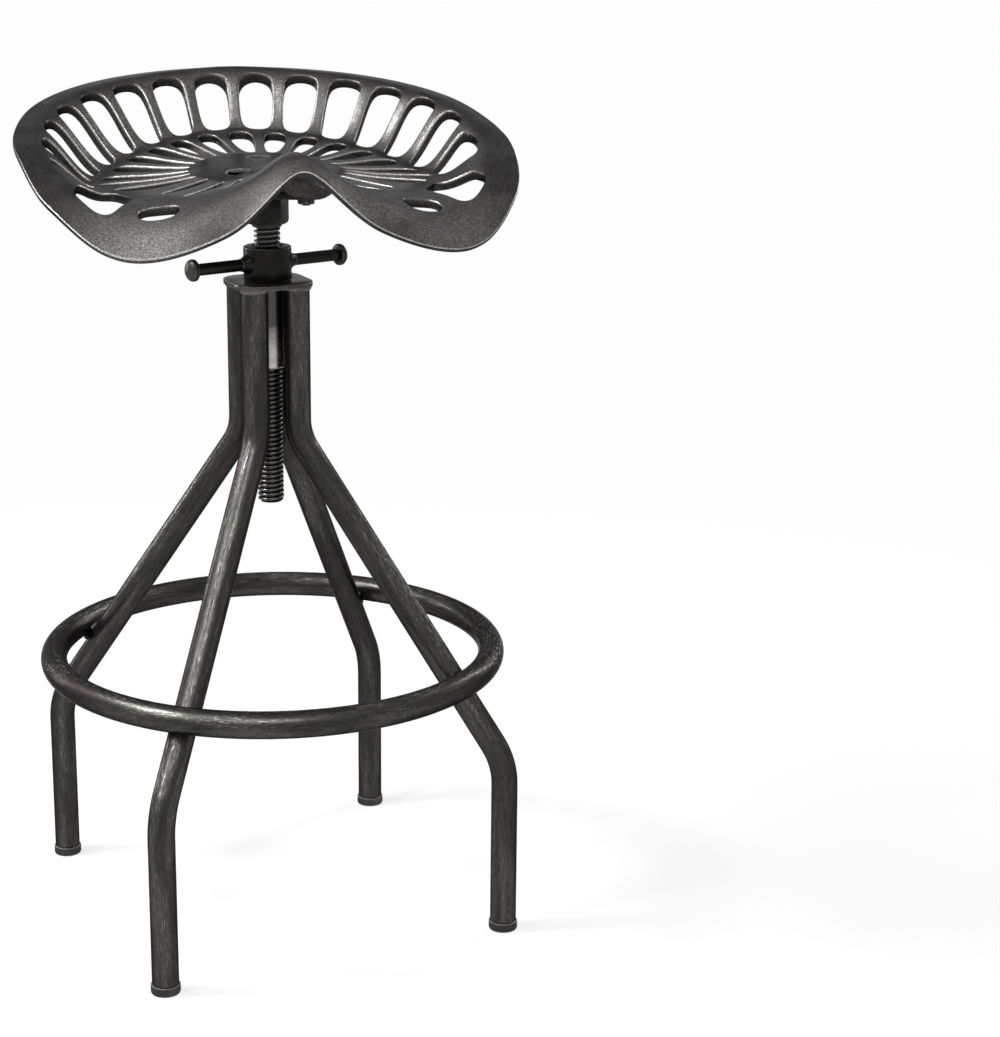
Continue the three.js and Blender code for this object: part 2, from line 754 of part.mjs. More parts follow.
// Countersunk bolt with a hexagon socket, standing at the origin of its own hole
function boltGeometry() {
  const head_top = seat_height - bolt_head_sink;
  const head_foot = head_top - bolt_head_height;
  const tip = flange_underside - nut_height - seating_gap - bolt_end;
  const body = toSolid(turned([
    [0, tip],
    [bolt_radius - nut_chamfer, tip],
    [bolt_radius, tip + nut_chamfer],
    [bolt_radius, head_foot],
    [bolt_head_diameter / 2, head_top],
    [0, head_top],
  ], small_sides));
  const socket = hexagonBlank(bolt_socket_across, head_top - bolt_socket_depth, head_top + cut_overrun, 0, 0);
  return toGeometry(body.subtract(socket));
}

function nutGeometry() {
  const top = flange_underside - seating_gap;
  const bottom = top - nut_height;
  const blank = hexagonBlank(nut_across_flats, bottom, top, nut_chamfer, nut_chamfer);
  const hole = cylinder(bolt_radius + seating_gap, bottom - cut_overrun, top + cut_overrun, small_sides);
  return toGeometry(blank.subtract(hole));
}

// Assembly

function piece(name, geometry, material) {
  const mesh = new THREE.Mesh(geometry, material);
  mesh.name = name;
  return mesh;
}

const stool = new THREE.Group();

const base = new THREE.Group();
base.rotation.z = radians(base_turn_deg);
const leg_sides = ['front_right', 'back_right', 'back_left', 'front_left'];
leg_sides.forEach((side, index) => {
  const quarter = new THREE.Group();
  quarter.rotation.z = (2 * Math.PI * (index - 1 / 2)) / leg_count;
  quarter.add(piece(`leg_${side}`, legGeometry(), frame_metal));
  const cap = piece(`foot_cap_${side}`, footCapGeometry(), cap_black);
  cap.position.x = foot_circle_radius;
  quarter.add(cap);
  base.add(quarter);
});
const foot_ring = piece(
  'foot_ring',
  new THREE.TorusGeometry(footRingRadius(), tube_radius, tube_sides, ring_steps),
  frame_metal,
);
foot_ring.position.z = foot_ring_height;
base.add(foot_ring);
const plate = piece('top_plate', topPlateGeometry(), frame_metal);
plate.rotation.z = Math.PI / leg_count;
base.add(plate);
base.add(piece('nut_sleeve', sleeveGeometry(), bright_metal));
stool.add(base);

const lock = new THREE.Group();
lock.rotation.z = radians(bar_turn_deg);
lock.add(piece('lock_collar', collarGeometry(), dark_metal));
['tommy_bar_right', 'tommy_bar_left'].forEach((name, index) => {
  const bar = piece(name, barGeometry(), dark_metal);
  bar.position.z = plate_top_height + seating_gap + collar_height / 2;
  bar.rotation.z = Math.PI * index;
  lock.add(bar);
});
stool.add(lock);

const seat = new THREE.Group();
seat.add(piece('spindle_screw', spindleGeometry(), dark_metal));
seat.add(piece('hexagon_boss', bossGeometry(), dark_metal));
seat.add(piece('seat_flange', flangeGeometry(), dark_metal));
seat.add(piece('seat_pan', seatPanGeometry(), seat_metal));
['back', 'front_left', 'front_right'].forEach((side, index) => {
  const x = bolt_circle_radius * Math.cos(boltTurn(index));
  const y = bolt_circle_radius * Math.sin(boltTurn(index));
  const bolt = piece(`seat_bolt_${side}`, boltGeometry(), dark_metal);
  const nut = piece(`seat_nut_${side}`, nutGeometry(), dark_metal);
  bolt.position.set(x, y, 0);
  nut.position.set(x, y, 0);
  seat.add(bolt, nut);
});
stool.add(seat);

export default stool;
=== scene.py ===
import math

import bmesh
import bpy
from bpy.props import FloatProperty, FloatVectorProperty, IntProperty, PointerProperty
from mathutils import Matrix, Vector
from mathutils.noise import noise as noise_at


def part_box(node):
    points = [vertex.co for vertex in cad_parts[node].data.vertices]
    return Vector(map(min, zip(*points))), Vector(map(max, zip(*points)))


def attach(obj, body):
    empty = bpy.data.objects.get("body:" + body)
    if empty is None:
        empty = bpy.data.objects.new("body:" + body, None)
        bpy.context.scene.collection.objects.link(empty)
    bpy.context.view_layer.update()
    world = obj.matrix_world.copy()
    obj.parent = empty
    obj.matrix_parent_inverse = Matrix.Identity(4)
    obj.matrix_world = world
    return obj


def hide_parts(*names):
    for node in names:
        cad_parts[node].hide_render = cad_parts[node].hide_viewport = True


bl_info = {
    "name": "Tractor Seat Stool",
    "version": (1, 0, 0),
    "blender": (4, 5, 0),
    "location": "3D View > Sidebar > Stool",
    "description": (
        "Dresses the workshop stool in its cast seat, lifting screw, bent tubes "
        "and antiqued finishes"),
    "category": "Object",
}

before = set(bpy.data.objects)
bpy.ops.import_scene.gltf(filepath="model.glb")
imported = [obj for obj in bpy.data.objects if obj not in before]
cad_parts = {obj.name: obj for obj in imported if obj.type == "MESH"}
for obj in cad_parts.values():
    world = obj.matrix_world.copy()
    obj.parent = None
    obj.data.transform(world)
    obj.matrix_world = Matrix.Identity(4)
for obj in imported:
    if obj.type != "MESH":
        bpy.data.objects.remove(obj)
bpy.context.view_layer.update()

LEGS = ("front_right", "back_right", "back_left", "front_left")
BOLTS = ("back", "front_left", "front_right")

# Tables down one side of the seat, from the back to the pommel in equal steps.
# Reaches are shares of the seat's half width, rises are shares of the back rim's rise.
STATION_STEP = math.radians(20)
RIM_REACH = (1, 1, 1.002, 1, 0.988, 0.984, 1.024, 1.005, 0.865, 0.713)
RIM_RISE = (0.996, 0.96, 0.854, 0.667, 0.4, 0.17, -0.293, -0.813, -0.54, 0.175)
BAND_WIDTH = (1, 0.93, 0.83, 0.81, 0.79, 0.83, 1.02, 1.07, 1.03, 0.9)
SLOT_END_RISE = (0.951, 0.919, 0.821, 0.659, 0.423, 0.146, -0.163, -0.48, -0.13, 0.35)
WEB_REACH = (0.72, 0.677, 0.65, 0.649, 0.67, 0.689, 0.689, 0.65, 0.554, 0.472)
WEB_RISE = (0.195, 0.154, 0.057, -0.076, -0.2, -0.215, -0.26, -0.23, -0.04, 0.3)
DISC_RISE = (0, -0.008, -0.033, -0.065, -0.098, -0.106, -0.114, -0.122, -0.033, 0.098)
INNER_START = (1.2, 1.17, 1.1, 1.05, 1.02, 1.02, 1.02, 1.04, 1.1, 1.2)
INNER_END = (0.965, 0.962, 0.96, 0.96, 0.961, 0.97, 0.78, 0.9, 0.82, 0.8)

# The seat starts as a flat grid. Its columns run round, four to a pitch, and its rows run
# outwards: the disc, the inner slots, the outer slots and the rim's plain band.
PITCHES = 27
PITCH = 2 * math.pi / PITCHES
COLUMNS = 4 * PITCHES
DISC_ROWS = (0, 0.19, 0.38, 0.51, 0.64, 0.77, 0.9)
INNER_ROWS = 4
OUTER_ROWS = 5
BAND_ROWS = 2
FIRST_INNER = len(DISC_ROWS)
FIRST_OUTER = FIRST_INNER + INNER_ROWS
FIRST_BAND = FIRST_OUTER + OUTER_ROWS
ROWS = FIRST_BAND + BAND_ROWS

# Inner slots past the regular ones are narrow and stand at turns of their own
REGULAR_INNER = 8
LAST_INNER = 11
FRONT_TURNS = {9: 123, 10: 139, 11: 153, 12: 164, 13: 174.5, 14: 185.5}
FRONT_SLOT_HALF = 0.0045

# Openings of the outer ring, as columns from the back: plus on the left, minus on the right.
# The left side has eight slots, the right side has seven, and both have a corner opening.
CORNER = (33, 39)
WIDE_SLOT = (-27, -25)
OPENINGS = (
    [(4 * k + 1, 4 * k + 3) for k in range(8)]
    + [(-4 * k - 3, -4 * k - 1) for k in range(7)]
    + [CORNER, (-CORNER[1], -CORNER[0])])

# Oval holes of the front lobes: columns, middle, half lengths and lean
LOBE = (41, 43)
LOBE_PLACE = (0.1035, -0.1205)
LOBE_HALF = (0.0163, 0.0102)
LOBE_LEAN = math.radians(17)
LOBE_CORNER = 0.86

# Spokes that the seat's surface is worked out on, all the way round
TURN_STEPS = 3600
# A slot's wall is upright, so it is longer where the dish is steep: at most the casting's
# thickness over this
LEAST_LEVEL = 0.45
# The hub under the disc ends at this reach, and eases into the wall over this width
HUB_REACH = 0.06
HUB_EASE = 0.006
# How far the bolts' heads lie under the disc's surface
BOLT_SINK = 0.0026
# Bolt recesses in the disc: where the dip ends, how wide its side is, and its depth
RECESS_REACH = 0.0098
RECESS_SIDE = 0.004
RECESS_DEPTH = 0.003
# A ring round a recess that is painted bright as a highlight, and half its width
RIDGE_REACH = 0.0096
RIDGE_HALF = 0.0016

# Length of tube from one cross section to the next, and sections in a bend and the ring
TUBE_STEP = 0.03
BEND_STEPS = 14
RING_STEPS = 160
# How far the brushed streaks are drawn out along a leg, and set apart from leg to leg.
# On the ring they are read on a circle of a smaller radius, which draws them out as well.
STREAK_STRETCH = 9
LEG_SHIFT = 0.37
RING_STREAK_REACH = 0.021
# Half length and half height of a bead at the ring, and how far it lies from the contact
BEAD_HALF = (0.0075, 0.0026)
BEAD_OFFSET = 0.0062
# How far the top plate reaches past the leg tubes
PLATE_MARGIN = 0.002
# Chamfer at the screw's lower end, and the radius and height of the boss's neck
SCREW_CHAMFER = 0.002
BOSS_NECK = (0.0125, 0.003)
# Radius and height of a tommy bar's domed head, its tip's distance from the axis, and its steps
BAR_HEAD = (0.0092, 0.0055, 0.077)
DOME_STEPS = 8
# Lock collar's radius, and the bolts' thread radius, nut height and width across flats
COLLAR_RADIUS = 0.02
BOLT_THREAD = 0.004
NUT_HEIGHT = 0.0042
NUT_FLATS = 0.013

# Sharpness in radians a metre from which an edge is rubbed, and how much more rubs it bare
WEAR_START = 150
WEAR_RANGE = 500


class StoolBaseSizes(bpy.types.PropertyGroup):
    """Sizes of the tube base"""

    tube_diameter: FloatProperty(
        name="Tube Diameter", description="Outside diameter of the leg and ring tubes",
        default=0.0222, min=0.005, unit="LENGTH")
    foot_circle: FloatProperty(
        name="Foot Circle", description="Radius of the circle that the feet stand on",
        default=0.2135, min=0.05, unit="LENGTH")
    leg_cluster: FloatProperty(
        name="Leg Cluster", description="Radius of the circle of leg tops under the plate",
        default=0.026, min=0.01, unit="LENGTH")
    upper_knee: FloatProperty(
        name="Upper Knee", description="Height of the upper bend's corner",
        default=0.418, min=0.05, unit="LENGTH")
    lower_knee: FloatProperty(
        name="Lower Knee", description="Height of the lower bend's corner",
        default=0.1515, min=0.02, unit="LENGTH")
    upper_bend: FloatProperty(
        name="Upper Bend", description="Radius of the upper bend",
        default=0.045, min=0.01, unit="LENGTH")
    lower_bend: FloatProperty(
        name="Lower Bend", description="Radius of the lower bend",
        default=0.06, min=0.01, unit="LENGTH")
    base_turn: FloatProperty(
        name="Base Turn", description="How far the legs stand round from the seat's diagonals",
        default=math.radians(10.2), subtype="ANGLE")
    plate_waist: FloatProperty(
        name="Plate Waist", description="How far the top plate draws in between two legs",
        default=0.0055, min=0, unit="LENGTH")
    tube_sides: IntProperty(
        name="Tube Sides", description="Flat sides that make up a round tube", default=40, min=12)


class StoolScrewSizes(bpy.types.PropertyGroup):
    """Sizes of the lifting screw and its fittings"""

    thread_pitch: FloatProperty(
        name="Thread Pitch", description="Climb of the lifting screw in one turn",
        default=0.004, min=0.001, unit="LENGTH")
    thread_depth: FloatProperty(
        name="Thread Depth", description="Crest to root of the lifting screw's thread",
        default=0.0024, min=0.0002, unit="LENGTH")
    bore_clearance: FloatProperty(
        name="Bore Clearance", description="Gap between the screw and what it runs in",
        default=0.0003, min=0, unit="LENGTH")
    bar_diameter: FloatProperty(
        name="Bar Diameter", description="Diameter of a tommy bar's shaft",
        default=0.01, min=0.002, unit="LENGTH")
    bar_turn: FloatProperty(
        name="Bar Turn", description="How far the bars stand round from the seat's sides",
        default=math.radians(22.2), subtype="ANGLE")
    boss_flats: FloatProperty(
        name="Boss Across Flats", description="Width of the hexagon boss across its flats",
        default=0.032, min=0.01, unit="LENGTH")


class StoolSeatSizes(bpy.types.PropertyGroup):
    """Sizes of the cast seat"""

    half_width: FloatProperty(
        name="Half Width", description="Spindle axis to the rim at the back of the seat",
        default=0.2075, min=0.1, unit="LENGTH")
    back_rise: FloatProperty(
        name="Back Rise", description="Height of the back rim over the disc",
        default=0.0615, min=0.01, unit="LENGTH")
    disc_radius: FloatProperty(
        name="Disc Radius", description="Radius of the plain disc in the middle",
        default=0.062, min=0.02, unit="LENGTH")
    band_width: FloatProperty(
        name="Band Width", description="Plain rim outside the slots at the back",
        default=0.029, min=0.005, unit="LENGTH")
    wall: FloatProperty(
        name="Wall", description="Thickness of the casting",
        default=0.0076, min=0.002, unit="LENGTH")
    rim_edge: FloatProperty(
        name="Rim Edge", description="Thickness of the rim at its edge",
        default=0.0045, min=0.001, unit="LENGTH")
    rib_width: FloatProperty(
        name="Rib Width", description="Width of a rib between two outer slots",
        default=0.0095, min=0.002, unit="LENGTH")
    inner_rib_width: FloatProperty(
        name="Inner Rib Width", description="Width of a rib between two inner slots",
        default=0.008, min=0.002, unit="LENGTH")
    lip_round: FloatProperty(
        name="Lip Rounding", description="Rounding of the slots' upper lips",
        default=0.0016, min=0.0002, unit="LENGTH")
    pommel_lean: FloatProperty(
        name="Pommel Lean", description="How far the pommel's crest stands off the middle plane",
        default=0.0045, unit="LENGTH")
    hub_depth: FloatProperty(
        name="Hub Depth", description="Disc surface to the underside of the hub",
        default=0.0202, min=0.005, unit="LENGTH")


class StoolColours(bpy.types.PropertyGroup):
    """Colours of the finishes"""

    tube_dark: FloatVectorProperty(
        name="Tube Dark", description="Antiqued gunmetal in the shaded streaks of the tubes",
        subtype="COLOR", size=3, min=0, max=1, default=(0.019, 0.0175, 0.017))
    # Also the colour of the painted highlight on the tubes' flecks that face up
    tube_bright: FloatVectorProperty(
        name="Tube Bright", description="Brushed metal that shows through on the tubes",
        subtype="COLOR", size=3, min=0, max=1, default=(0.3, 0.29, 0.28))
    cast_dark: FloatVectorProperty(
        name="Casting Dark", description="Antiqued ground of the cast seat",
        subtype="COLOR", size=3, min=0, max=1, default=(0.019, 0.0175, 0.017))
    # Also the colour of the painted highlight on the front lobes
    cast_bright: FloatVectorProperty(
        name="Casting Bright", description="Rubbed metal on the seat's lips and lobes",
        subtype="COLOR", size=3, min=0, max=1, default=(0.52, 0.51, 0.5))
    fittings: FloatVectorProperty(
        name="Fittings", description="Blackened steel of the screw, collar, bars and boss",
        subtype="COLOR", size=3, min=0, max=1, default=(0.010, 0.0095, 0.009))
    bare_steel: FloatVectorProperty(
        name="Bare Steel", description="Turned steel of the nut sleeve",
        subtype="COLOR", size=3, min=0, max=1, default=(0.5, 0.49, 0.48))
    floor: FloatVectorProperty(
        name="Floor", description="Colour of the studio floor",
        subtype="COLOR", size=3, min=0, max=1, default=(0.8, 0.8, 0.8))


# Shared modelling steps


def unit(value):
    """A value held between 0 and 1."""
    return min(max(value, 0), 1)


def eased(share):
    """A share from 0 to 1, with a soft start and a soft end."""
    return share * share * (3 - 2 * share)


def move_shape(bm, vec):
    """Moves a whole shape."""
    bmesh.ops.translate(bm, verts=bm.verts, vec=vec)


def turn_shape(bm, angle, axis="Z"):
    """Turns a whole shape about an axis through the origin."""
    turn = Matrix.Rotation(angle, 3, axis)
    bmesh.ops.rotate(bm, verts=bm.verts, cent=(0, 0, 0), matrix=turn)


def thicken(bm, height):
    """Makes a flat shape solid, up or down from where it lies."""
    grown = bmesh.ops.extrude_face_region(bm, geom=bm.faces[:], use_keep_orig=True)["geom"]
    verts = [item for item in grown if isinstance(item, bmesh.types.BMVert)]
    bmesh.ops.translate(bm, verts=verts, vec=(0, 0, height))
    bmesh.ops.recalc_face_normals(bm, faces=bm.faces)


def hexagon_bar(corner, low, high):
    """A hexagon between two heights, with its corners on a circle."""
    bm = bmesh.new()
    bmesh.ops.create_circle(bm, cap_ends=True, radius=corner, segments=6)
    thicken(bm, high - low)
    move_shape(bm, (0, 0, low))
    return bm


def leg_turn(sizes, index):
    """How far round the stool a leg stands."""
    return sizes.base_turn + math.pi / 2 * (index - 0.5)


def screw_bore(screw):
    """Radius of the holes that the lifting screw runs in."""
    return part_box("spindle_screw")[1].x + screw.bore_clearance


def lathe(profile, steps):
    """A turned shape about +Z from (radius, height) pairs that run along its outline."""
    bm = bmesh.new()
    verts = [bm.verts.new((radius, 0, height)) for radius, height in profile]
    edges = [bm.edges.new(pair) for pair in zip(verts, verts[1:])]
    bmesh.ops.spin(
        bm, geom=verts + edges, cent=(0, 0, 0), axis=(0, 0, 1), angle=2 * math.pi,
        steps=steps, use_merge=True)
    bmesh.ops.remove_doubles(bm, verts=bm.verts, dist=1e-6)
    bmesh.ops.recalc_face_normals(bm, faces=bm.faces)
    return bm


def soften(bm, width, segments, least_angle):
    """Rounds every edge that is sharper than an angle."""
    edges = [e for e in bm.edges if len(e.link_faces) == 2 and e.calc_face_angle() > least_angle]
    bmesh.ops.bevel(
        bm, geom=edges, offset=width, offset_type="OFFSET", segments=segments, profile=0.5,
        affect="EDGES", material=-1, clamp_overlap=True)
    return bm


def mesh_of(bm, name):
    """Ends the work on a shape and gives it back as a mesh."""
    mesh = bpy.data.meshes.new(name)
    bm.to_mesh(mesh)
    bm.free()
    return mesh


def carved(bm, tool, operation):
    """One shape cut or kept by another."""
    target = bpy.data.objects.new("carved", mesh_of(bm, "carved"))
    cutter = bpy.data.objects.new("cutter", mesh_of(tool, "cutter"))
    for item in (target, cutter):
        bpy.context.scene.collection.objects.link(item)
    step = target.modifiers.new("Cut", "BOOLEAN")
    step.operation = operation
    step.solver = "EXACT"
    step.object = cutter
    result = bmesh.new()
    result.from_object(target, bpy.context.evaluated_depsgraph_get())
    for item in (target, cutter):
        bpy.data.objects.remove(item)
    bmesh.ops.remove_doubles(result, verts=result.verts, dist=1e-6)
    bmesh.ops.dissolve_degenerate(result, dist=1e-6, edges=result.edges)
    return result


def subdivided(bm, levels):
    """The same shape after Catmull-Clark subdivision."""
    rough = bpy.data.objects.new("rough", mesh_of(bm, "rough"))
    bpy.context.scene.collection.objects.link(rough)
    step = rough.modifiers.new("Subdivision", "SUBSURF")
    step.levels = levels
    step.render_levels = levels
    result = bmesh.new()
    result.from_object(rough, bpy.context.evaluated_depsgraph_get())
    bpy.data.objects.remove(rough)
    return result


def joined(first, other):
    """Two shapes as one mesh."""
    mesh = mesh_of(other, "joined")
    first.from_mesh(mesh)
    bpy.data.meshes.remove(mesh)
    return first


def mark_wear(bm):
    """Stores how sharply each vertex stands out, which the finishes read as rubbed edges."""
    layer = bm.verts.layers.float.new("wear_and_highlight")
    bm.normal_update()
    for vert in bm.verts:
        sharpest = 0.0
        for edge in vert.link_edges:
            if len(edge.link_faces) != 2:
                continue
            near, far = edge.link_faces
            gap = (near.calc_center_median() - far.calc_center_median()).length
            sharpest = max(sharpest, edge.calc_face_angle_signed() / max(gap, 1e-5))
        vert[layer] = unit((sharpest - WEAR_START) / WEAR_RANGE)


def rub_and_highlight_above(bm, height, least):
    """Rubs whatever stands above a height bare by a share at least: wear on the bars' heads, a
    painted highlight on the bolts' domes.
    """
    layer = bm.verts.layers.float["wear_and_highlight"]
    for vert in bm.verts:
        if vert.co.z > height:
            vert[layer] = max(vert[layer], least)


def place_piece(name, bm, finish, body, nodes, smooth=35):
    """Makes a shape a piece that rides on its body and stands for its nodes, if it has any.

    Edges stay crisp where they turn by more than smooth, in degrees."""
    mesh = mesh_of(bm, name)
    mesh.shade_smooth()
    mesh.set_sharp_from_angle(angle=math.radians(smooth))
    mesh.materials.append(finish)
    piece = bpy.data.objects.new(name, mesh)
    bpy.context.scene.collection.objects.link(piece)
    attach(piece, body)
    if nodes:
        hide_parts(*nodes)
    return piece


# Finishes


def fill_inputs(tree, node, inputs):
    """Links or sets a node's sockets."""
    for key, value in inputs.items():
        if isinstance(value, bpy.types.NodeSocket):
            tree.links.new(value, node.inputs[key])
        else:
            node.inputs[key].default_value = value


def add_node(tree, kind, settings=None, inputs=None):
    """A new node with its settings and its inputs, which are sockets or plain values."""
    node = tree.nodes.new(kind)
    for key, value in (settings or {}).items():
        setattr(node, key, value)
    fill_inputs(tree, node, inputs or {})
    return node


def noise(tree, vector, scale, detail, roughness=0.55):
    return add_node(tree, "ShaderNodeTexNoise", None, {
        "Vector": vector, "Scale": scale, "Detail": detail, "Roughness": roughness}).outputs[0]


def ramp(tree, value, low, high, to_low=0.0, to_high=1.0):
    """A value that goes smoothly from one level to another between two limits."""
    return add_node(tree, "ShaderNodeMapRange", {"interpolation_type": "SMOOTHSTEP"}, {
        "Value": value, "From Min": low, "From Max": high,
        "To Min": to_low, "To Max": to_high}).outputs[0]


def maths(tree, operation, first, second=0.0, clamp=False):
    return add_node(tree, "ShaderNodeMath", {"operation": operation, "use_clamp": clamp}, {
        0: first, 1: second}).outputs[0]


def weighted(tree, *terms):
    """The sum of values times their weights."""
    parts = [maths(tree, "MULTIPLY", value, weight) for value, weight in terms]
    total = parts[0]
    for part in parts[1:]:
        total = maths(tree, "ADD", total, part)
    return total


def vector_maths(tree, operation, inputs):
    return add_node(tree, "ShaderNodeVectorMath", {"operation": operation}, inputs).outputs


def blend(tree, share, first, second):
    """Two colours mixed by a share of the second."""
    node = add_node(tree, "ShaderNodeMix", {"data_type": "RGBA"}, {0: share, 6: first, 7: second})
    return node.outputs[2]


def mixture(share, first, second):
    """A plain colour between two others."""
    return tuple((1 - share) * a + share * b for a, b in zip(first, second))


def object_place(tree):
    return add_node(tree, "ShaderNodeTexCoord").outputs["Object"]


def attribute(tree, name, output="Fac"):
    """What the mesh stores under a name."""
    return add_node(tree, "ShaderNodeAttribute", {
        "attribute_type": "GEOMETRY", "attribute_name": name}).outputs[output]


def effect_group(name, inputs, outputs):
    """A new node group with named sockets and its two ends, or None if it is already there."""
    if name in bpy.data.node_groups:
        return None, None, None
    tree = bpy.data.node_groups.new(name, "ShaderNodeTree")
    for label, kind in inputs:
        tree.interface.new_socket(name=label, in_out="INPUT", socket_type=kind)
    for label in outputs:
        tree.interface.new_socket(name=label, in_out="OUTPUT", socket_type="NodeSocketFloat")
    start = add_node(tree, "NodeGroupInput")
    end = add_node(tree, "NodeGroupOutput")
    return tree, start.outputs, end.inputs


def effect(tree, name, inputs):
    """Places a shared node group in a finish and gives its outputs."""
    node = add_node(tree, "ShaderNodeGroup", {"node_tree": bpy.data.node_groups[name]}, inputs)
    return node.outputs


def make_effects():
    """Node groups that several finishes share."""
    tree, given, result = effect_group(
        "Brushed Streaks", [("Vector", "NodeSocketVector")], ["Streaks", "Blotches", "Flecks"])
    if tree:
        vector = given["Vector"]
        fine = noise(tree, vector, 1500, 3, 0.6)
        broad = noise(tree, vector, 620, 3, 0.5)
        patches = noise(tree, vector, 80, 4, 0.6)
        specks = noise(tree, vector, 1300, 2, 0.7)
        streaks = weighted(tree, (fine, 0.6), (broad, 0.4))
        tree.links.new(ramp(tree, streaks, 0.33, 0.67), result["Streaks"])
        tree.links.new(ramp(tree, patches, 0.4, 0.66), result["Blotches"])
        tree.links.new(ramp(tree, specks, 0.53, 0.68), result["Flecks"])
    tree, given, result = effect_group(
        "Cast Grain", [("Vector", "NodeSocketVector")], ["Grit", "Speckle", "Mottle"])
    if tree:
        vector = given["Vector"]
        specks = noise(tree, vector, 950, 4, 0.7)
        clouds = noise(tree, vector, 42, 4, 0.55)
        tree.links.new(noise(tree, vector, 1300, 3, 0.65), result["Grit"])
        tree.links.new(ramp(tree, specks, 0.36, 0.68), result["Speckle"])
        tree.links.new(ramp(tree, clouds, 0.36, 0.66), result["Mottle"])
    tree, given, result = effect_group(
        "Rubbed Edges And Highlights", [("Worn", "NodeSocketFloat"), ("Break Up", "NodeSocketFloat")], ["Mask"])
    if tree:
        broken = ramp(tree, given["Break Up"], 0.0, 1.0, 0.35, 1.0)
        mask = maths(tree, "MULTIPLY", ramp(tree, given["Worn"], 0.1, 0.9), broken)
        tree.links.new(mask, result["Mask"])


def begin_finish(name, constants):
    """A new material with its shader's plain values set, or None if it is already there."""
    if name in bpy.data.materials:
        return None, None, None
    finish = bpy.data.materials.new(name)
    finish.use_nodes = True
    tree = finish.node_tree
    shader = tree.nodes["Principled BSDF"]
    for key, value in constants.items():
        shader.inputs[key].default_value = value
    return finish, tree, shader


def add_bump(tree, shader, height, distance, strength):
    bump = add_node(tree, "ShaderNodeBump", None, {
        "Height": height, "Distance": distance, "Strength": strength})
    tree.links.new(bump.outputs["Normal"], shader.inputs["Normal"])


def tube_finish():
    """Antiqued gunmetal, brushed along the tube, under a thin clear lacquer."""
    colours = bpy.context.scene.stool_colours
    finish, tree, shader = begin_finish("Antiqued gunmetal tube", {
        "Metallic": 0.95, "Specular Tint": (0.24, 0.24, 0.25, 1), "Coat Weight": 0.04,
        "Coat Roughness": 0.15, "Anisotropic": 0.3})
    if finish:
        dark = (*colours.tube_dark, 1)
        bright = (*colours.tube_bright, 1)
        warm = (dark[0] * 1.3, dark[1] * 1.12, dark[2] * 1.25, 1)
        cool = (dark[0] * 0.95, dark[1] * 1.15, dark[2] * 0.95, 1)
        place = object_place(tree)
        brushed = effect(tree, "Brushed Streaks", {"Vector": attribute(tree, "along", "Vector")})
        grain = effect(tree, "Cast Grain", {"Vector": place})
        patina = ramp(tree, noise(tree, place, 17, 3), 0.38, 0.62)
        tone = weighted(tree, (brushed["Streaks"], 0.4), (brushed["Blotches"], 0.4),
                        (grain["Speckle"], 0.2))
        ground = blend(tree, maths(tree, "POWER", tone, 1.3, True),
                       blend(tree, patina, cool, warm), mixture(0.21, dark, bright))
        # Flecks of bare metal lie in blotches, with a painted highlight on the sides that face up
        normal = add_node(tree, "ShaderNodeNewGeometry").outputs["Normal"]
        up = add_node(tree, "ShaderNodeSeparateXYZ", None, {0: normal}).outputs["Z"]
        rubbed = maths(tree, "MULTIPLY", brushed["Blotches"], brushed["Flecks"])
        rubbed = maths(tree, "MULTIPLY", rubbed, ramp(tree, up, 0.1, 0.6, 0.3, 1.0))
        tree.links.new(blend(tree, rubbed, ground, bright), shader.inputs["Base Color"])
        tree.links.new(ramp(tree, tone, 0, 1, 0.4, 0.26), shader.inputs["Roughness"])
        add_bump(tree, shader, brushed["Streaks"], 0.00008, 0.5)
    return bpy.data.materials["Antiqued gunmetal tube"]


def rubbed_and_highlit_seat(tree, place):
    """Where hands and trousers wear the inner and outer ribs bright, with a painted highlight on
    the front lobes, strongest on the left one.
    """
    flat = vector_maths(tree, "MULTIPLY", {0: place, 1: (1, 1, 0)})["Vector"]
    reach = vector_maths(tree, "LENGTH", {0: flat})["Value"]
    inner = maths(tree, "MULTIPLY", ramp(tree, reach, 0.062, 0.07),
                  ramp(tree, reach, 0.11, 0.135, 1, 0))
    outer = maths(tree, "MULTIPLY", ramp(tree, reach, 0.12, 0.15),
                  ramp(tree, reach, 0.168, 0.185, 1, 0))
    rub_and_highlight = maths(tree, "MAXIMUM", maths(tree, "MULTIPLY", inner, 0.75),
                maths(tree, "MULTIPLY", outer, 0.4))
    # Painted highlight on the front lobes where the lamps above fall: strong on the left lobe,
    # weaker on the right
    for across, most in ((-0.13, 1.0), (0.13, 0.4)):
        gap = vector_maths(tree, "DISTANCE", {0: flat, 1: (across, -0.165, 0)})["Value"]
        rub_and_highlight = maths(tree, "MAXIMUM", rub_and_highlight, ramp(tree, gap, 0.01, 0.08, most, 0))
    return rub_and_highlight, inner


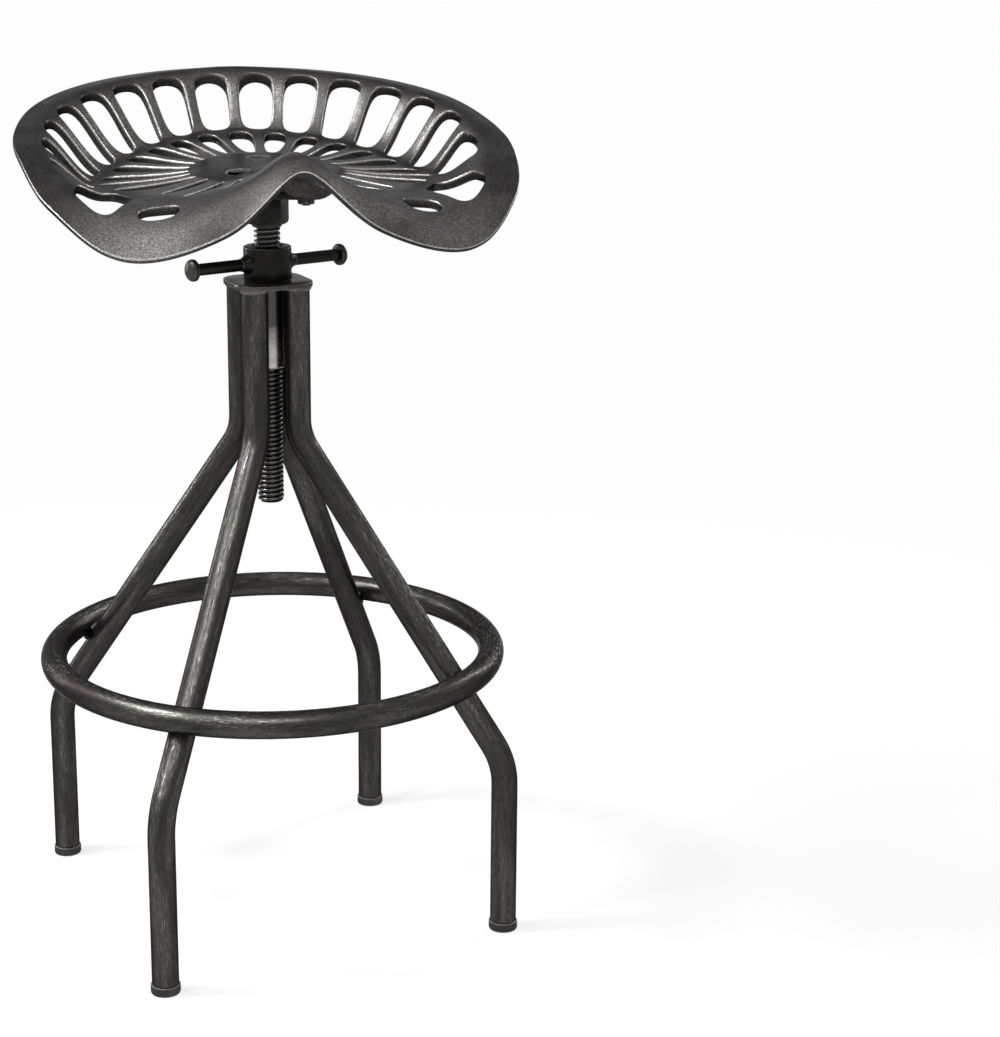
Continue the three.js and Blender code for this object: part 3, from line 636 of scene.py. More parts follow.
def seat_finish():
    """Dark antiqued casting, rubbed bright on its ribs and lips, with a painted highlight on the
    front lobes and painted shade down the slot walls.
    """
    colours = bpy.context.scene.stool_colours
    finish, tree, shader = begin_finish("Antiqued seat casting", {
        "Metallic": 0.93, "Specular Tint": (0.36, 0.36, 0.37, 1), "Coat Weight": 0.03,
        "Coat Roughness": 0.2})
    if finish:
        dark = (*colours.cast_dark, 1)
        bright = (*colours.cast_bright, 1)
        place = object_place(tree)
        grain = effect(tree, "Cast Grain", {"Vector": place})
        brushed = effect(tree, "Brushed Streaks", {"Vector": attribute(tree, "along", "Vector")})
        rub_and_highlight, inner = rubbed_and_highlit_seat(tree, place)
        rub_and_highlight = maths(tree, "MULTIPLY", rub_and_highlight, maths(
            tree, "MAXIMUM", grain["Speckle"], brushed["Flecks"]))
        edges = effect(tree, "Rubbed Edges And Highlights", {
            "Worn": attribute(tree, "wear_and_highlight"), "Break Up": grain["Speckle"]})
        bare = maths(tree, "MAXIMUM", maths(tree, "MULTIPLY", rub_and_highlight, 0.5), edges["Mask"])
        tone = weighted(tree, (grain["Speckle"], 0.5), (brushed["Streaks"], 0.35),
                        (grain["Mottle"], 0.25))
        ground = blend(tree, maths(tree, "POWER", tone, 1.5, True),
                       dark, mixture(0.13, dark, bright))
        # Slot walls are darker: antiquing left in them, and painted shade down the walls below the
        # lips
        shade = ramp(tree, attribute(tree, "shade"), 0, 1, 1, 0.4)
        colour = vector_maths(tree, "SCALE", {
            0: blend(tree, bare, ground, bright), "Scale": shade})["Vector"]
        tree.links.new(colour, shader.inputs["Base Color"])
        tree.links.new(ramp(tree, tone, 0, 1, 0.42, 0.28), shader.inputs["Roughness"])
        height = maths(tree, "MULTIPLY", grain["Grit"], ramp(tree, inner, 0, 1, 0.5, 1.6))
        add_bump(tree, shader, height, 0.0003, 0.6)
    return bpy.data.materials["Antiqued seat casting"]


def dark_finish(name="Blackened steel", colour=None, roughness=0.36):
    """Blackened steel with rubbed edges and a little oil sheen."""
    colours = bpy.context.scene.stool_colours
    finish, tree, shader = begin_finish(name, {
        "Metallic": 0.85, "Specular Tint": (0.3, 0.3, 0.3, 1), "Coat Weight": 0.08,
        "Coat Roughness": 0.22})
    if finish:
        base = tuple(colour or colours.fittings)
        lighter = (*(min(1, value * 1.9) for value in base), 1)
        bare = (*(min(1, value * 5 + 0.08) for value in base), 1)
        grain = effect(tree, "Cast Grain", {"Vector": object_place(tree)})
        edges = effect(tree, "Rubbed Edges And Highlights", {
            "Worn": attribute(tree, "wear_and_highlight"), "Break Up": grain["Speckle"]})
        ground = blend(tree, grain["Mottle"], (*base, 1), lighter)
        rough = ramp(tree, grain["Speckle"], 0, 1, roughness + 0.1, roughness - 0.06)
        tree.links.new(blend(tree, edges["Mask"], ground, bare), shader.inputs["Base Color"])
        tree.links.new(rough, shader.inputs["Roughness"])
        add_bump(tree, shader, grain["Grit"], 0.0001, 0.5)
    return bpy.data.materials[name]


def sleeve_finish():
    """Turned steel, bare below and painted dark towards the top as the shade under the top plate
    and legs.
    """
    colours = bpy.context.scene.stool_colours
    finish, tree, shader = begin_finish("Turned sleeve steel", {"Metallic": 1.0})
    if finish:
        dark = (0.07, 0.066, 0.064, 1)
        place = object_place(tree)
        grain = effect(tree, "Cast Grain", {"Vector": place})
        height = add_node(tree, "ShaderNodeSeparateXYZ", None, {0: place}).outputs["Z"]
        wobble = maths(tree, "MULTIPLY", noise(tree, place, 60, 3), 0.02)
        # Painted shade: dark above this height, under the top plate
        bare = ramp(tree, maths(tree, "ADD", height, wobble), 0.5, 0.522, 1, 0)
        ground = blend(tree, bare, dark, (*colours.bare_steel, 1))
        smudge = blend(tree, maths(tree, "MULTIPLY", grain["Mottle"], 0.35), ground, dark)
        tree.links.new(smudge, shader.inputs["Base Color"])
        rough = ramp(tree, grain["Speckle"], 0, 1, 0.36, 0.24)
        tree.links.new(rough, shader.inputs["Roughness"])
        add_bump(tree, shader, grain["Grit"], 0.00005, 0.5)
    return bpy.data.materials["Turned sleeve steel"]


# Tube base


class TubeLine:
    """The centre line of a leg in its own upright plane, x outwards and z up."""

    def __init__(self, sizes):
        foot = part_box("leg_front_right")[0].z
        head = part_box("leg_front_right")[1].z
        corners = [
            Vector((sizes.leg_cluster, 0, head)),
            Vector((sizes.leg_cluster, 0, sizes.upper_knee)),
            Vector((sizes.foot_circle, 0, sizes.lower_knee)),
            Vector((sizes.foot_circle, 0, foot)),
        ]
        self.head = corners[0]
        self.parts = []
        place = corners[0]
        length = 0.0
        bends = ((sizes.upper_bend, 1), (sizes.lower_bend, -1))
        for index, (radius, side) in enumerate(bends):
            arriving = (corners[index + 1] - corners[index]).normalized()
            leaving = (corners[index + 2] - corners[index + 1]).normalized()
            turn = arriving.angle(leaving)
            setback = radius * math.tan(turn / 2)
            start = corners[index + 1] - arriving * setback
            self.parts.append(("run", place, start, length))
            length += (start - place).length
            outward = Vector((-arriving.z, 0, arriving.x)) * side
            centre = start + outward * radius
            self.parts.append(("bend", centre, start, length, turn * side, radius))
            length += radius * turn
            place = corners[index + 1] + leaving * setback
        self.parts.append(("run", place, corners[3], length))

    def straightened(self, point):
        """Where a point would lie if the tube were straight: across, across, and along."""
        best = None
        for part in self.parts:
            if part[0] == "run":
                start, end, length = part[1:4]
                direction = (end - start).normalized()
                along = (point - start).dot(direction)
                length_here = min(max(along, 0), (end - start).length)
                centre = start + direction * length_here
            else:
                middle, start, length, turn, radius = part[1:6]
                from_middle = point - middle
                from_middle.y = 0
                first = start - middle
                angle = math.atan2(
                    first.x * from_middle.z - first.z * from_middle.x,
                    first.x * from_middle.x + first.z * from_middle.z)
                share = unit(angle / turn) if turn else 0
                length_here = share * abs(turn) * radius
                swing = Matrix.Rotation(-share * turn, 3, "Y")
                centre = middle + swing @ first
                direction = (swing @ first).cross(Vector((0, 1, 0))).normalized()
                direction *= 1 if turn > 0 else -1
            offset = point - centre
            if best is None or offset.length < best[0]:
                across = offset.dot(direction.cross(Vector((0, 1, 0))))
                best = (offset.length, Vector((across, offset.y, length + length_here)))
        return best[1]


def leg_shape(sizes):
    """A bent tube in its own plane, made by extruding and spinning one round section."""
    line = TubeLine(sizes)
    radius = sizes.tube_diameter / 2
    bm = bmesh.new()
    ring = bmesh.ops.create_circle(bm, cap_ends=False, radius=radius, segments=sizes.tube_sides)
    bmesh.ops.translate(bm, verts=ring["verts"], vec=line.head)
    edges = list(bm.edges)
    for part in line.parts:
        if part[0] == "run":
            start, end = part[1:3]
            travel = end - start
            pieces = max(1, round(travel.length / TUBE_STEP))
            for _ in range(pieces):
                grown = bmesh.ops.extrude_edge_only(bm, edges=edges)["geom"]
                verts = [item for item in grown if isinstance(item, bmesh.types.BMVert)]
                edges = [item for item in grown if isinstance(item, bmesh.types.BMEdge)]
                edges = [e for e in edges if e.verts[0] in verts and e.verts[1] in verts]
                bmesh.ops.translate(bm, verts=verts, vec=travel / pieces)
        else:
            centre, turn = part[1], part[4]
            spun = bmesh.ops.spin(
                bm, geom=edges, cent=centre, axis=(0, 1, 0), angle=-turn, steps=BEND_STEPS,
                use_merge=False)["geom_last"]
            edges = [item for item in spun if isinstance(item, bmesh.types.BMEdge)]
    bmesh.ops.holes_fill(bm, edges=[e for e in bm.edges if e.is_boundary], sides=0)
    bmesh.ops.remove_doubles(bm, verts=bm.verts, dist=1e-6)
    bmesh.ops.recalc_face_normals(bm, faces=bm.faces)
    layer = bm.verts.layers.float_vector.new("along")
    for vert in bm.verts:
        place = line.straightened(vert.co)
        vert[layer] = Vector((place.x, place.y, place.z / STREAK_STRETCH))
    return bm


class STOOL_OT_legs(bpy.types.Operator):
    """Bend the four leg tubes"""

    bl_idname = "stool.legs"
    bl_label = "Legs"

    def execute(self, context):
        sizes = context.scene.stool_base
        for index, side in enumerate(LEGS):
            bm = leg_shape(sizes)
            layer = bm.verts.layers.float_vector["along"]
            for vert in bm.verts:
                vert[layer] = vert[layer] + Vector((0, 0, LEG_SHIFT * index))
            turn_shape(bm, leg_turn(sizes, index))
            place_piece(f"bent_leg_{side}", bm, tube_finish(), "base", [f"leg_{side}"])
        return {"FINISHED"}


class STOOL_OT_foot_caps(bpy.types.Operator):
    """Press the four caps into the leg ends"""

    bl_idname = "stool.foot_caps"
    bl_label = "Foot Caps"

    def execute(self, context):
        sizes = context.scene.stool_base
        radius = sizes.tube_diameter / 2
        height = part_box("leg_front_right")[0].z
        lip = radius + 0.0011
        for index, side in enumerate(LEGS):
            bm = lathe([
                (0, 0), (lip - 0.0016, 0), (lip - 0.0005, 0.0004), (lip, 0.0015),
                (lip, height - 0.0018), (lip - 0.0004, height - 0.001),
                (lip - 0.0014, height - 0.0006), (radius - 0.0012, height - 0.0004),
                (radius - 0.0022, height - 0.0002), (0, height - 0.0002),
            ], 64)
            mark_wear(bm)
            turn = leg_turn(sizes, index)
            foot = Vector((math.cos(turn), math.sin(turn), 0)) * sizes.foot_circle
            move_shape(bm, foot)
            finish = dark_finish("Worn foot cap", (0.03, 0.029, 0.029), 0.42)
            place_piece(f"pressed_cap_{side}", bm, finish, "base", [f"foot_cap_{side}"])
        return {"FINISHED"}


class STOOL_OT_foot_ring(bpy.types.Operator):
    """Roll the foot ring"""

    bl_idname = "stool.foot_ring"
    bl_label = "Foot Ring"

    def execute(self, context):
        sizes = context.scene.stool_base
        low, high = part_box("foot_ring")
        radius = sizes.tube_diameter / 2
        reach = high.x - radius
        bm = bmesh.new()
        bmesh.ops.create_circle(bm, cap_ends=False, radius=radius, segments=sizes.tube_sides)
        turn_shape(bm, math.pi / 2, "X")
        move_shape(bm, (reach, 0, (low.z + high.z) / 2))
        bmesh.ops.spin(
            bm, geom=bm.verts[:] + bm.edges[:], cent=(0, 0, 0), axis=(0, 0, 1), angle=2 * math.pi,
            steps=RING_STEPS, use_merge=True)
        bmesh.ops.recalc_face_normals(bm, faces=bm.faces)
        layer = bm.verts.layers.float_vector.new("along")
        for vert in bm.verts:
            far = math.hypot(vert.co.x, vert.co.y)
            share = (far - reach + RING_STREAK_REACH) / far
            vert[layer] = Vector((vert.co.x * share, vert.co.y * share, vert.co.z))
        place_piece("rolled_ring", bm, tube_finish(), "base", ["foot_ring"])
        return {"FINISHED"}


def ring_contact(sizes):
    """Where the ring touches a leg, in the leg's own plane, and the leg's direction there."""
    low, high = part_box("foot_ring")
    ring = Vector((high.x - sizes.tube_diameter / 2, 0, (low.z + high.z) / 2))
    slope = TubeLine(sizes).parts[2]
    start, end = slope[1:3]
    along = (end - start).normalized()
    nearest = start + along * (ring - start).dot(along)
    return (ring + nearest) / 2, along


def ring_bead(shift):
    """A lumpy run of weld, longest along y."""
    bm = bmesh.new()
    bmesh.ops.create_icosphere(bm, subdivisions=3, radius=1)
    long, high = BEAD_HALF
    for vert in bm.verts:
        lump = 1 + 0.16 * noise_at(vert.co * 2.2 + Vector((shift, 0, 0)))
        lump += 0.09 * math.sin(11 * vert.co.x + shift)
        vert.co = Vector((vert.co.x * long, vert.co.y * high * lump, vert.co.z * high * lump))
    turn_shape(bm, math.pi / 2)
    return bm


def plate_bead(radius, plate, shift):
    """A lumpy collar of weld round a leg's head, under the plate."""
    bm = lathe([
        (radius - 0.0004, plate - 0.0032), (radius + 0.0005, plate - 0.0029),
        (radius + 0.0013, plate - 0.0016), (radius + 0.0017, plate - 0.0002),
        (radius - 0.0004, plate - 0.0002), (radius - 0.0004, plate - 0.0032)], 64)
    for vert in bm.verts:
        lump = noise_at(vert.co * 260 + Vector((shift, 0, 0)))
        outward = Vector((vert.co.x, vert.co.y, 0)).normalized()
        if vert.co.z < plate - 0.0003:
            vert.co += outward * 0.0004 * lump + Vector((0, 0, 0.0005 * lump))
    return bm


class STOOL_OT_welds(bpy.types.Operator):
    """Lay the weld beads at the foot ring and under the top plate"""

    bl_idname = "stool.welds"
    bl_label = "Welds"

    def execute(self, context):
        sizes = context.scene.stool_base
        contact, along = ring_contact(sizes)
        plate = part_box("top_plate")[0].z
        beads = bmesh.new()
        for index in range(len(LEGS)):
            turn = leg_turn(sizes, index)
            for step, side in enumerate((-1, 1)):
                bead = ring_bead(3.1 * index + 1.7 * step)
                move_shape(bead, contact + along * (side * BEAD_OFFSET))
                turn_shape(bead, turn)
                joined(beads, bead)
            collar = plate_bead(sizes.tube_diameter / 2, plate, index)
            move_shape(collar, (sizes.leg_cluster, 0, 0))
            turn_shape(collar, turn)
            joined(beads, collar)
        layer = beads.verts.layers.float.new("wear_and_highlight")
        for vert in beads.verts:
            vert[layer] = 0.35 + 0.3 * noise_at(vert.co * 300)
        finish = dark_finish("Weld steel", (0.05, 0.048, 0.046), 0.36)
        place_piece("weld_beads", beads, finish, "base", [])
        return {"FINISHED"}


class STOOL_OT_top_plate(bpy.types.Operator):
    """Cut the lobed plate on the leg tops"""

    bl_idname = "stool.top_plate"
    bl_label = "Top Plate"

    def execute(self, context):
        sizes = context.scene.stool_base
        low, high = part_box("top_plate")
        reach = sizes.leg_cluster + sizes.tube_diameter / 2 + PLATE_MARGIN
        bore = screw_bore(context.scene.stool_screw)
        bm = bmesh.new()
        bmesh.ops.create_circle(bm, cap_ends=False, radius=reach, segments=128)
        for vert in bm.verts:
            angle = math.atan2(vert.co.y, vert.co.x)
            lobe = reach - sizes.plate_waist * (1 - math.cos(len(LEGS) * angle)) / 2
            vert.co *= lobe / reach
        bmesh.ops.create_circle(bm, cap_ends=False, radius=bore, segments=128)
        bmesh.ops.bridge_loops(bm, edges=bm.edges[:])
        thicken(bm, high.z - low.z)
        soften(bm, 0.0005, 2, 1.0)
        mark_wear(bm)
        turn_shape(bm, sizes.base_turn + math.pi / 4)
        move_shape(bm, (0, 0, low.z))
        finish = dark_finish("Plate steel", (0.04, 0.038, 0.036), 0.28)
        place_piece("lobed_plate", bm, finish, "base", ["top_plate"])
        return {"FINISHED"}


class STOOL_OT_nut_sleeve(bpy.types.Operator):
    """Turn the sleeve that the screw runs in"""

    bl_idname = "stool.nut_sleeve"
    bl_label = "Nut Sleeve"

    def execute(self, context):
        low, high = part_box("nut_sleeve")
        outside = high.y
        bore = screw_bore(context.scene.stool_screw)
        bm = lathe([
            (bore, low.z + 0.0012), (bore + 0.0008, low.z), (outside - 0.0007, low.z),
            (outside, low.z + 0.0007), (outside, high.z), (bore, high.z), (bore, low.z + 0.0012),
        ], 64)
        mark_wear(bm)
        place_piece("turned_sleeve", bm, sleeve_finish(), "base", ["nut_sleeve"])
        return {"FINISHED"}


# Screw and lock


class STOOL_OT_lifting_screw(bpy.types.Operator):
    """Cut the lifting screw's thread"""

    bl_idname = "stool.lifting_screw"
    bl_label = "Lifting Screw"

    def execute(self, context):
        screw = context.scene.stool_screw
        low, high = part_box("spindle_screw")
        crest = high.x
        root = crest - screw.thread_depth
        pitch = screw.thread_pitch
        steps = 36
        # Two turns more than the screw has, because both ends are cut off square
        turns = math.ceil((high.z - low.z) / pitch) + 2
        # Radii of one thread, at shares of its pitch
        profile = ((root, 0), (root, 0.3), (crest - 0.0002, 0.44), (crest, 0.5), (crest, 0.8),
                   (crest - 0.0002, 0.86), (root, 1))
        start = low.z - 1.5 * pitch
        bm = bmesh.new()
        verts = [bm.verts.new((radius, 0, start + place * pitch)) for radius, place in profile]
        edges = [bm.edges.new(pair) for pair in zip(verts, verts[1:])]
        bmesh.ops.spin(
            bm, geom=verts + edges, cent=(0, 0, 0), axis=(0, 0, 1), angle=2 * math.pi * turns,
            steps=steps * turns, dvec=(0, 0, pitch / steps), use_merge=False)
        bmesh.ops.remove_doubles(bm, verts=bm.verts, dist=2e-5)
        for height, side in ((low.z, -1), (high.z, 1)):
            geometry = bm.verts[:] + bm.edges[:] + bm.faces[:]
            bmesh.ops.bisect_plane(
                bm, geom=geometry, dist=1e-7, plane_co=(0, 0, height), plane_no=(0, 0, side),
                clear_outer=True)
            rim = [e for e in bm.edges if e.is_boundary
                   and all(abs(vert.co.z - height) < 1e-5 for vert in e.verts)]
            bmesh.ops.edgeloop_fill(bm, edges=rim)
        bmesh.ops.recalc_face_normals(bm, faces=bm.faces)
        for vert in bm.verts:
            part = (vert.co.z - low.z) / SCREW_CHAMFER
            if part < 1:
                far = math.hypot(vert.co.x, vert.co.y)
                limit = crest - SCREW_CHAMFER * (1 - part)
                if far > limit:
                    vert.co.x *= limit / far
                    vert.co.y *= limit / far
        mark_wear(bm)
        finish = dark_finish("Oiled screw steel", (0.012, 0.0115, 0.011), 0.26)
        place_piece("threaded_spindle", bm, finish, "spindle", ["spindle_screw"],
                    smooth=28)
        return {"FINISHED"}


class STOOL_OT_lock_collar(bpy.types.Operator):
    """Turn the lock collar"""

    bl_idname = "stool.lock_collar"
    bl_label = "Lock Collar"

    def execute(self, context):
        low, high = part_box("lock_collar")
        outside = COLLAR_RADIUS
        bore = screw_bore(context.scene.stool_screw)
        bm = lathe([
            (bore, low.z + 0.0008), (bore + 0.0008, low.z), (outside - 0.0014, low.z),
            (outside - 0.0004, low.z + 0.0005), (outside, low.z + 0.0016),
            (outside, high.z - 0.0013), (outside - 0.0003, high.z - 0.0005),
            (outside - 0.0011, high.z), (bore + 0.0026, high.z), (bore + 0.0021, high.z - 0.0004),
            (bore, high.z - 0.003), (bore, low.z + 0.0008),
        ], 96)
        mark_wear(bm)
        place_piece("turned_collar", bm, dark_finish(), "lock", ["lock_collar"])
        return {"FINISHED"}


class STOOL_OT_tommy_bars(bpy.types.Operator):
    """Turn the two tommy bars with their domed heads and flared roots"""

    bl_idname = "stool.tommy_bars"
    bl_label = "Tommy Bars"

    def execute(self, context):
        screw = context.scene.stool_screw
        low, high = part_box("lock_collar")
        shaft = screw.bar_diameter / 2
        collar = COLLAR_RADIUS
        head, dome, tip = BAR_HEAD
        profile = [
            (0, collar - 0.0065), (shaft, collar - 0.0065), (shaft, tip - dome - 0.0032),
            (shaft + 0.0006, tip - dome - 0.003), (head - 0.001, tip - dome - 0.0026),
            (head - 0.0002, tip - dome - 0.0018)]
        for step in range(DOME_STEPS):
            angle = math.pi / 2 * step / DOME_STEPS
            profile.append((head * math.cos(angle), tip - dome * (1 - math.sin(angle))))
        profile.append((0, tip))
        for index, side in enumerate(("right", "left")):
            bar = lathe(profile, 48)
            flare = lathe([
                (0, collar - 0.003), (shaft + 0.0036, collar - 0.003),
                (shaft + 0.0036, collar - 0.0006), (shaft + 0.0031, collar + 0.0006),
                (shaft + 0.0018, collar + 0.0022), (shaft + 0.0008, collar + 0.0041),
                (shaft + 0.0002, collar + 0.0062), (shaft - 0.0003, collar + 0.0066),
                (0, collar + 0.0066)], 48)
            bm = joined(bar, flare)
            mark_wear(bm)
            rub_and_highlight_above(bm, tip - dome + 0.0002, 0.5)
            turn_shape(bm, math.pi / 2, "Y")
            turn_shape(bm, screw.bar_turn + math.pi * index)
            move_shape(bm, (0, 0, (low.z + high.z) / 2))
            place_piece(f"domed_bar_{side}", bm, dark_finish(), "lock", [f"tommy_bar_{side}"])
        return {"FINISHED"}


class STOOL_OT_hexagon_boss(bpy.types.Operator):
    """Cut the hexagon boss and its neck"""

    bl_idname = "stool.hexagon_boss"
    bl_label = "Hexagon Boss"

    def execute(self, context):
        screw = context.scene.stool_screw
        low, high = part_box("hexagon_boss")
        corner = screw.boss_flats / math.sqrt(3)
        bore = screw_bore(screw)
        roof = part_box("spindle_screw")[1].z + screw.bore_clearance
        shoulder = low.z + BOSS_NECK[1]
        hexagon = hexagon_bar(corner, shoulder, high.z)
        turn_shape(hexagon, math.pi / 6)
        envelope = lathe([
            (0, shoulder - 0.001), (corner - 0.0022, shoulder - 0.001), (corner - 0.0022, shoulder),
            (corner - 0.0012, shoulder + 0.0007), (corner + 0.0004, shoulder + 0.0026),
            (corner + 0.0004, high.z + 0.001), (0, high.z + 0.001)], 96)
        bm = carved(hexagon, envelope, "INTERSECT")
        hole = lathe([(0, shoulder - 0.01), (bore, shoulder - 0.01), (bore, roof), (0, roof)], 64)
        bm = carved(bm, hole, "DIFFERENCE")
        soften(bm, 0.0004, 2, 0.45)
        outside = BOSS_NECK[0]
        neck = lathe([
            (bore, low.z), (outside - 0.0009, low.z), (outside - 0.0002, low.z + 0.0006),
            (outside, low.z + 0.0014), (outside, shoulder + 0.0002), (bore, shoulder + 0.0002),
            (bore, low.z)], 64)
        bm = joined(bm, neck)
        mark_wear(bm)
        place_piece("chamfered_boss", bm, dark_finish(), "seat", ["hexagon_boss"])
        return {"FINISHED"}


class STOOL_OT_seat_flange(bpy.types.Operator):
    """Round the edges of the mounting flange"""

    bl_idname = "stool.seat_flange"
    bl_label = "Seat Flange"

    def execute(self, context):
        bm = bmesh.new()
        bm.from_mesh(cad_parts["seat_flange"].data)
        bmesh.ops.remove_doubles(bm, verts=bm.verts, dist=1e-5)
        soften(bm, 0.0008, 2, 0.7)
        mark_wear(bm)
        place_piece("rounded_flange", bm, dark_finish(), "seat", ["seat_flange"])
        return {"FINISHED"}


def hexagon_nut(flats, bore, low, high):
    """A nut with chamfered corners and an open thread hole."""
    corner = flats / math.sqrt(3)
    bm = hexagon_bar(corner, low, high)
    envelope = lathe([
        (0, low - 0.001), (flats / 2 - 0.0002, low - 0.001), (flats / 2 - 0.0002, low),
        (corner + 0.0003, low + 0.0012), (corner + 0.0003, high + 0.001), (0, high + 0.001)], 72)
    bm = carved(bm, envelope, "INTERSECT")
    hole = lathe([
        (0, low - 0.001), (bore, low - 0.001), (bore, high + 0.001), (0, high + 0.001)], 32)
    bm = carved(bm, hole, "DIFFERENCE")
    return soften(bm, 0.0002, 1, 0.45)


class STOOL_OT_seat_fixings(bpy.types.Operator):
    """Make the three countersunk bolts and their nuts"""

    bl_idname = "stool.seat_fixings"
    bl_label = "Seat Fixings"

    def execute(self, context):
        thread = BOLT_THREAD
        for side in BOLTS:
            low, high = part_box(f"seat_bolt_{side}")
            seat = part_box(f"seat_nut_{side}")[1].z
            centre = (low + high) / 2
            radius = (high.x - low.x) / 2
            end = seat - NUT_HEIGHT - 0.0012
            bm = lathe([
                (0, end), (thread - 0.0008, end), (thread, end + 0.0008), (thread, high.z - 0.0048),
                (radius - 0.0006, high.z - 0.0008), (radius, high.z - 0.0003),
                (radius - 0.0004, high.z), (0.0046, high.z + 0.0003), (0.0041, high.z - 0.0002),
                (0.0036, high.z - 0.0004), (0.003, high.z), (0.0021, high.z + 0.0009),
                (0.001, high.z + 0.0013), (0, high.z + 0.0014)], 48)
            mark_wear(bm)
            # The dome's top is painted bright as a highlight
            rub_and_highlight_above(bm, high.z + 0.0002, 1.0)
            move_shape(bm, (centre.x, centre.y, 0))
            place_piece(f"countersunk_bolt_{side}", bm, dark_finish(), "seat",
                        [f"seat_bolt_{side}"])
            nut = hexagon_nut(NUT_FLATS, thread + 0.0001, seat - NUT_HEIGHT, seat)
            mark_wear(nut)
            move_shape(nut, (centre.x, centre.y, 0))
            place_piece(f"chamfered_nut_{side}", nut, dark_finish(), "seat", [f"seat_nut_{side}"])
        return {"FINISHED"}


# Cast seat


def at_turn(shares, turn):
    """Smooth value of a one-sided table at any turn, mirrored across the middle plane."""
    last = len(shares) - 1
    folded = abs((turn + math.pi) % (2 * math.pi) - math.pi)
    place = min(folded / STATION_STEP, last)
    index = min(int(place), last - 1)
    part = place - index

    def mirrored(at):
        return shares[2 * last - at if at > last else abs(at)]

    a, b, c, d = (mirrored(index + step) for step in (-1, 0, 1, 2))
    rise = (c - a) / 2
    next_rise = (d - b) / 2
    return b + part * (rise + part * (3 * (c - b) - 2 * rise - next_rise
                                      + part * (2 * (b - c) + rise + next_rise)))


class SeatSurface:
    """The dished surface that the seat is cast to."""

    def __init__(self, sizes):
        self.sizes = sizes
        self.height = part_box("seat_bolt_back")[1].z + BOLT_SINK
        self.spokes = [
            self.spoke(2 * math.pi * step / TURN_STEPS) for step in range(TURN_STEPS + 1)]

    def spoke(self, turn):
        """Reach, rise and slope at the disc's edge, the web, the slot end and the rim."""
        s = self.sizes
        rim = s.half_width * at_turn(RIM_REACH, turn)
        reach = (s.disc_radius, s.half_width * at_turn(WEB_REACH, turn),
                 rim - s.band_width * at_turn(BAND_WIDTH, turn), rim)
        rise = tuple(s.back_rise * at_turn(table, turn)
                     for table in (DISC_RISE, WEB_RISE, SLOT_END_RISE, RIM_RISE))
        slope = [(rise[i + 1] - rise[i]) / (reach[i + 1] - reach[i]) for i in range(3)]
        # The dish stays flat up to the web and turns up sharply there, without dipping.
        product = slope[0] * slope[1]
        turned = 2 * product / (slope[0] + slope[1]) if product > 0 else 0
        before = reach[2] - reach[1]
        after = reach[3] - reach[2]
        blended = (slope[1] * after + slope[2] * before) / (before + after)
        return reach + rise + (2 * rise[0] / s.disc_radius, turned, blended, slope[2])

    def stops(self, turn):
        """The values of a spoke at any turn, from the two spokes beside it."""
        place = turn / (2 * math.pi) % 1 * TURN_STEPS
        index = int(place)
        part = place - index
        near = self.spokes[index]
        far = self.spokes[index + 1]
        return [a + (b - a) * part for a, b in zip(near, far)]

    def rise(self, turn, reach):
        """Height over the disc's middle."""
        spoke = self.stops(turn)
        places = spoke[:4]
        rises = spoke[4:8]
        slopes = spoke[8:]
        if reach <= places[0]:
            return rises[0] * (reach / places[0]) ** 2
        zone = 0
        while zone < 2 and reach > places[zone + 1]:
            zone += 1
        length = places[zone + 1] - places[zone]
        part = (reach - places[zone]) / length
        change = rises[zone + 1] - rises[zone]
        leaving = slopes[zone] * length
        arriving = slopes[zone + 1] * length
        return rises[zone] + part * (leaving + part * (3 * change - 2 * leaving - arriving
                                                       + part * (leaving + arriving - 2 * change)))

    def point(self, turn, reach):
        """A point of the upper surface."""
        return Vector((-reach * math.sin(turn), reach * math.cos(turn),
                       self.height + self.rise(turn, reach)))

    def inward(self, turn, reach):
        """Direction into the wall, square to the surface."""
        if reach < 0.002:
            return Vector((0, 0, -1))
        step = 0.0004
        outward = self.point(turn, reach + step) - self.point(turn, max(reach - step, 1e-5))
        swing = step / reach
        around = self.point(turn + swing, reach) - self.point(turn - swing, reach)
        return around.cross(outward).normalized()

    def rim_share(self, turn, reach):
        """How far a point lies across the rim's plain band, from 0 at the slots to 1."""
        slot_end, rim = self.stops(turn)[2:4]
        return unit((reach - slot_end) / (rim - slot_end))

    def thickness(self, turn, reach):
        """Thinner across the rim's band, and thick at the hub under the disc."""
        s = self.sizes
        wall = s.wall + (s.rim_edge - s.wall) * self.rim_share(turn, reach)
        hub = eased(unit((HUB_REACH - reach) / HUB_EASE))
        return wall + (s.hub_depth - s.wall) * hub

    def through(self, turn, reach):
        """From the upper surface to the lower one, upright between slots and square at the rim."""
        square = self.inward(turn, reach)
        thick = self.thickness(turn, reach)
        share = eased(self.rim_share(turn, reach))
        drop = thick / max(-square.z, LEAST_LEVEL)
        return square * (thick * share) - Vector((0, 0, drop * (1 - share)))


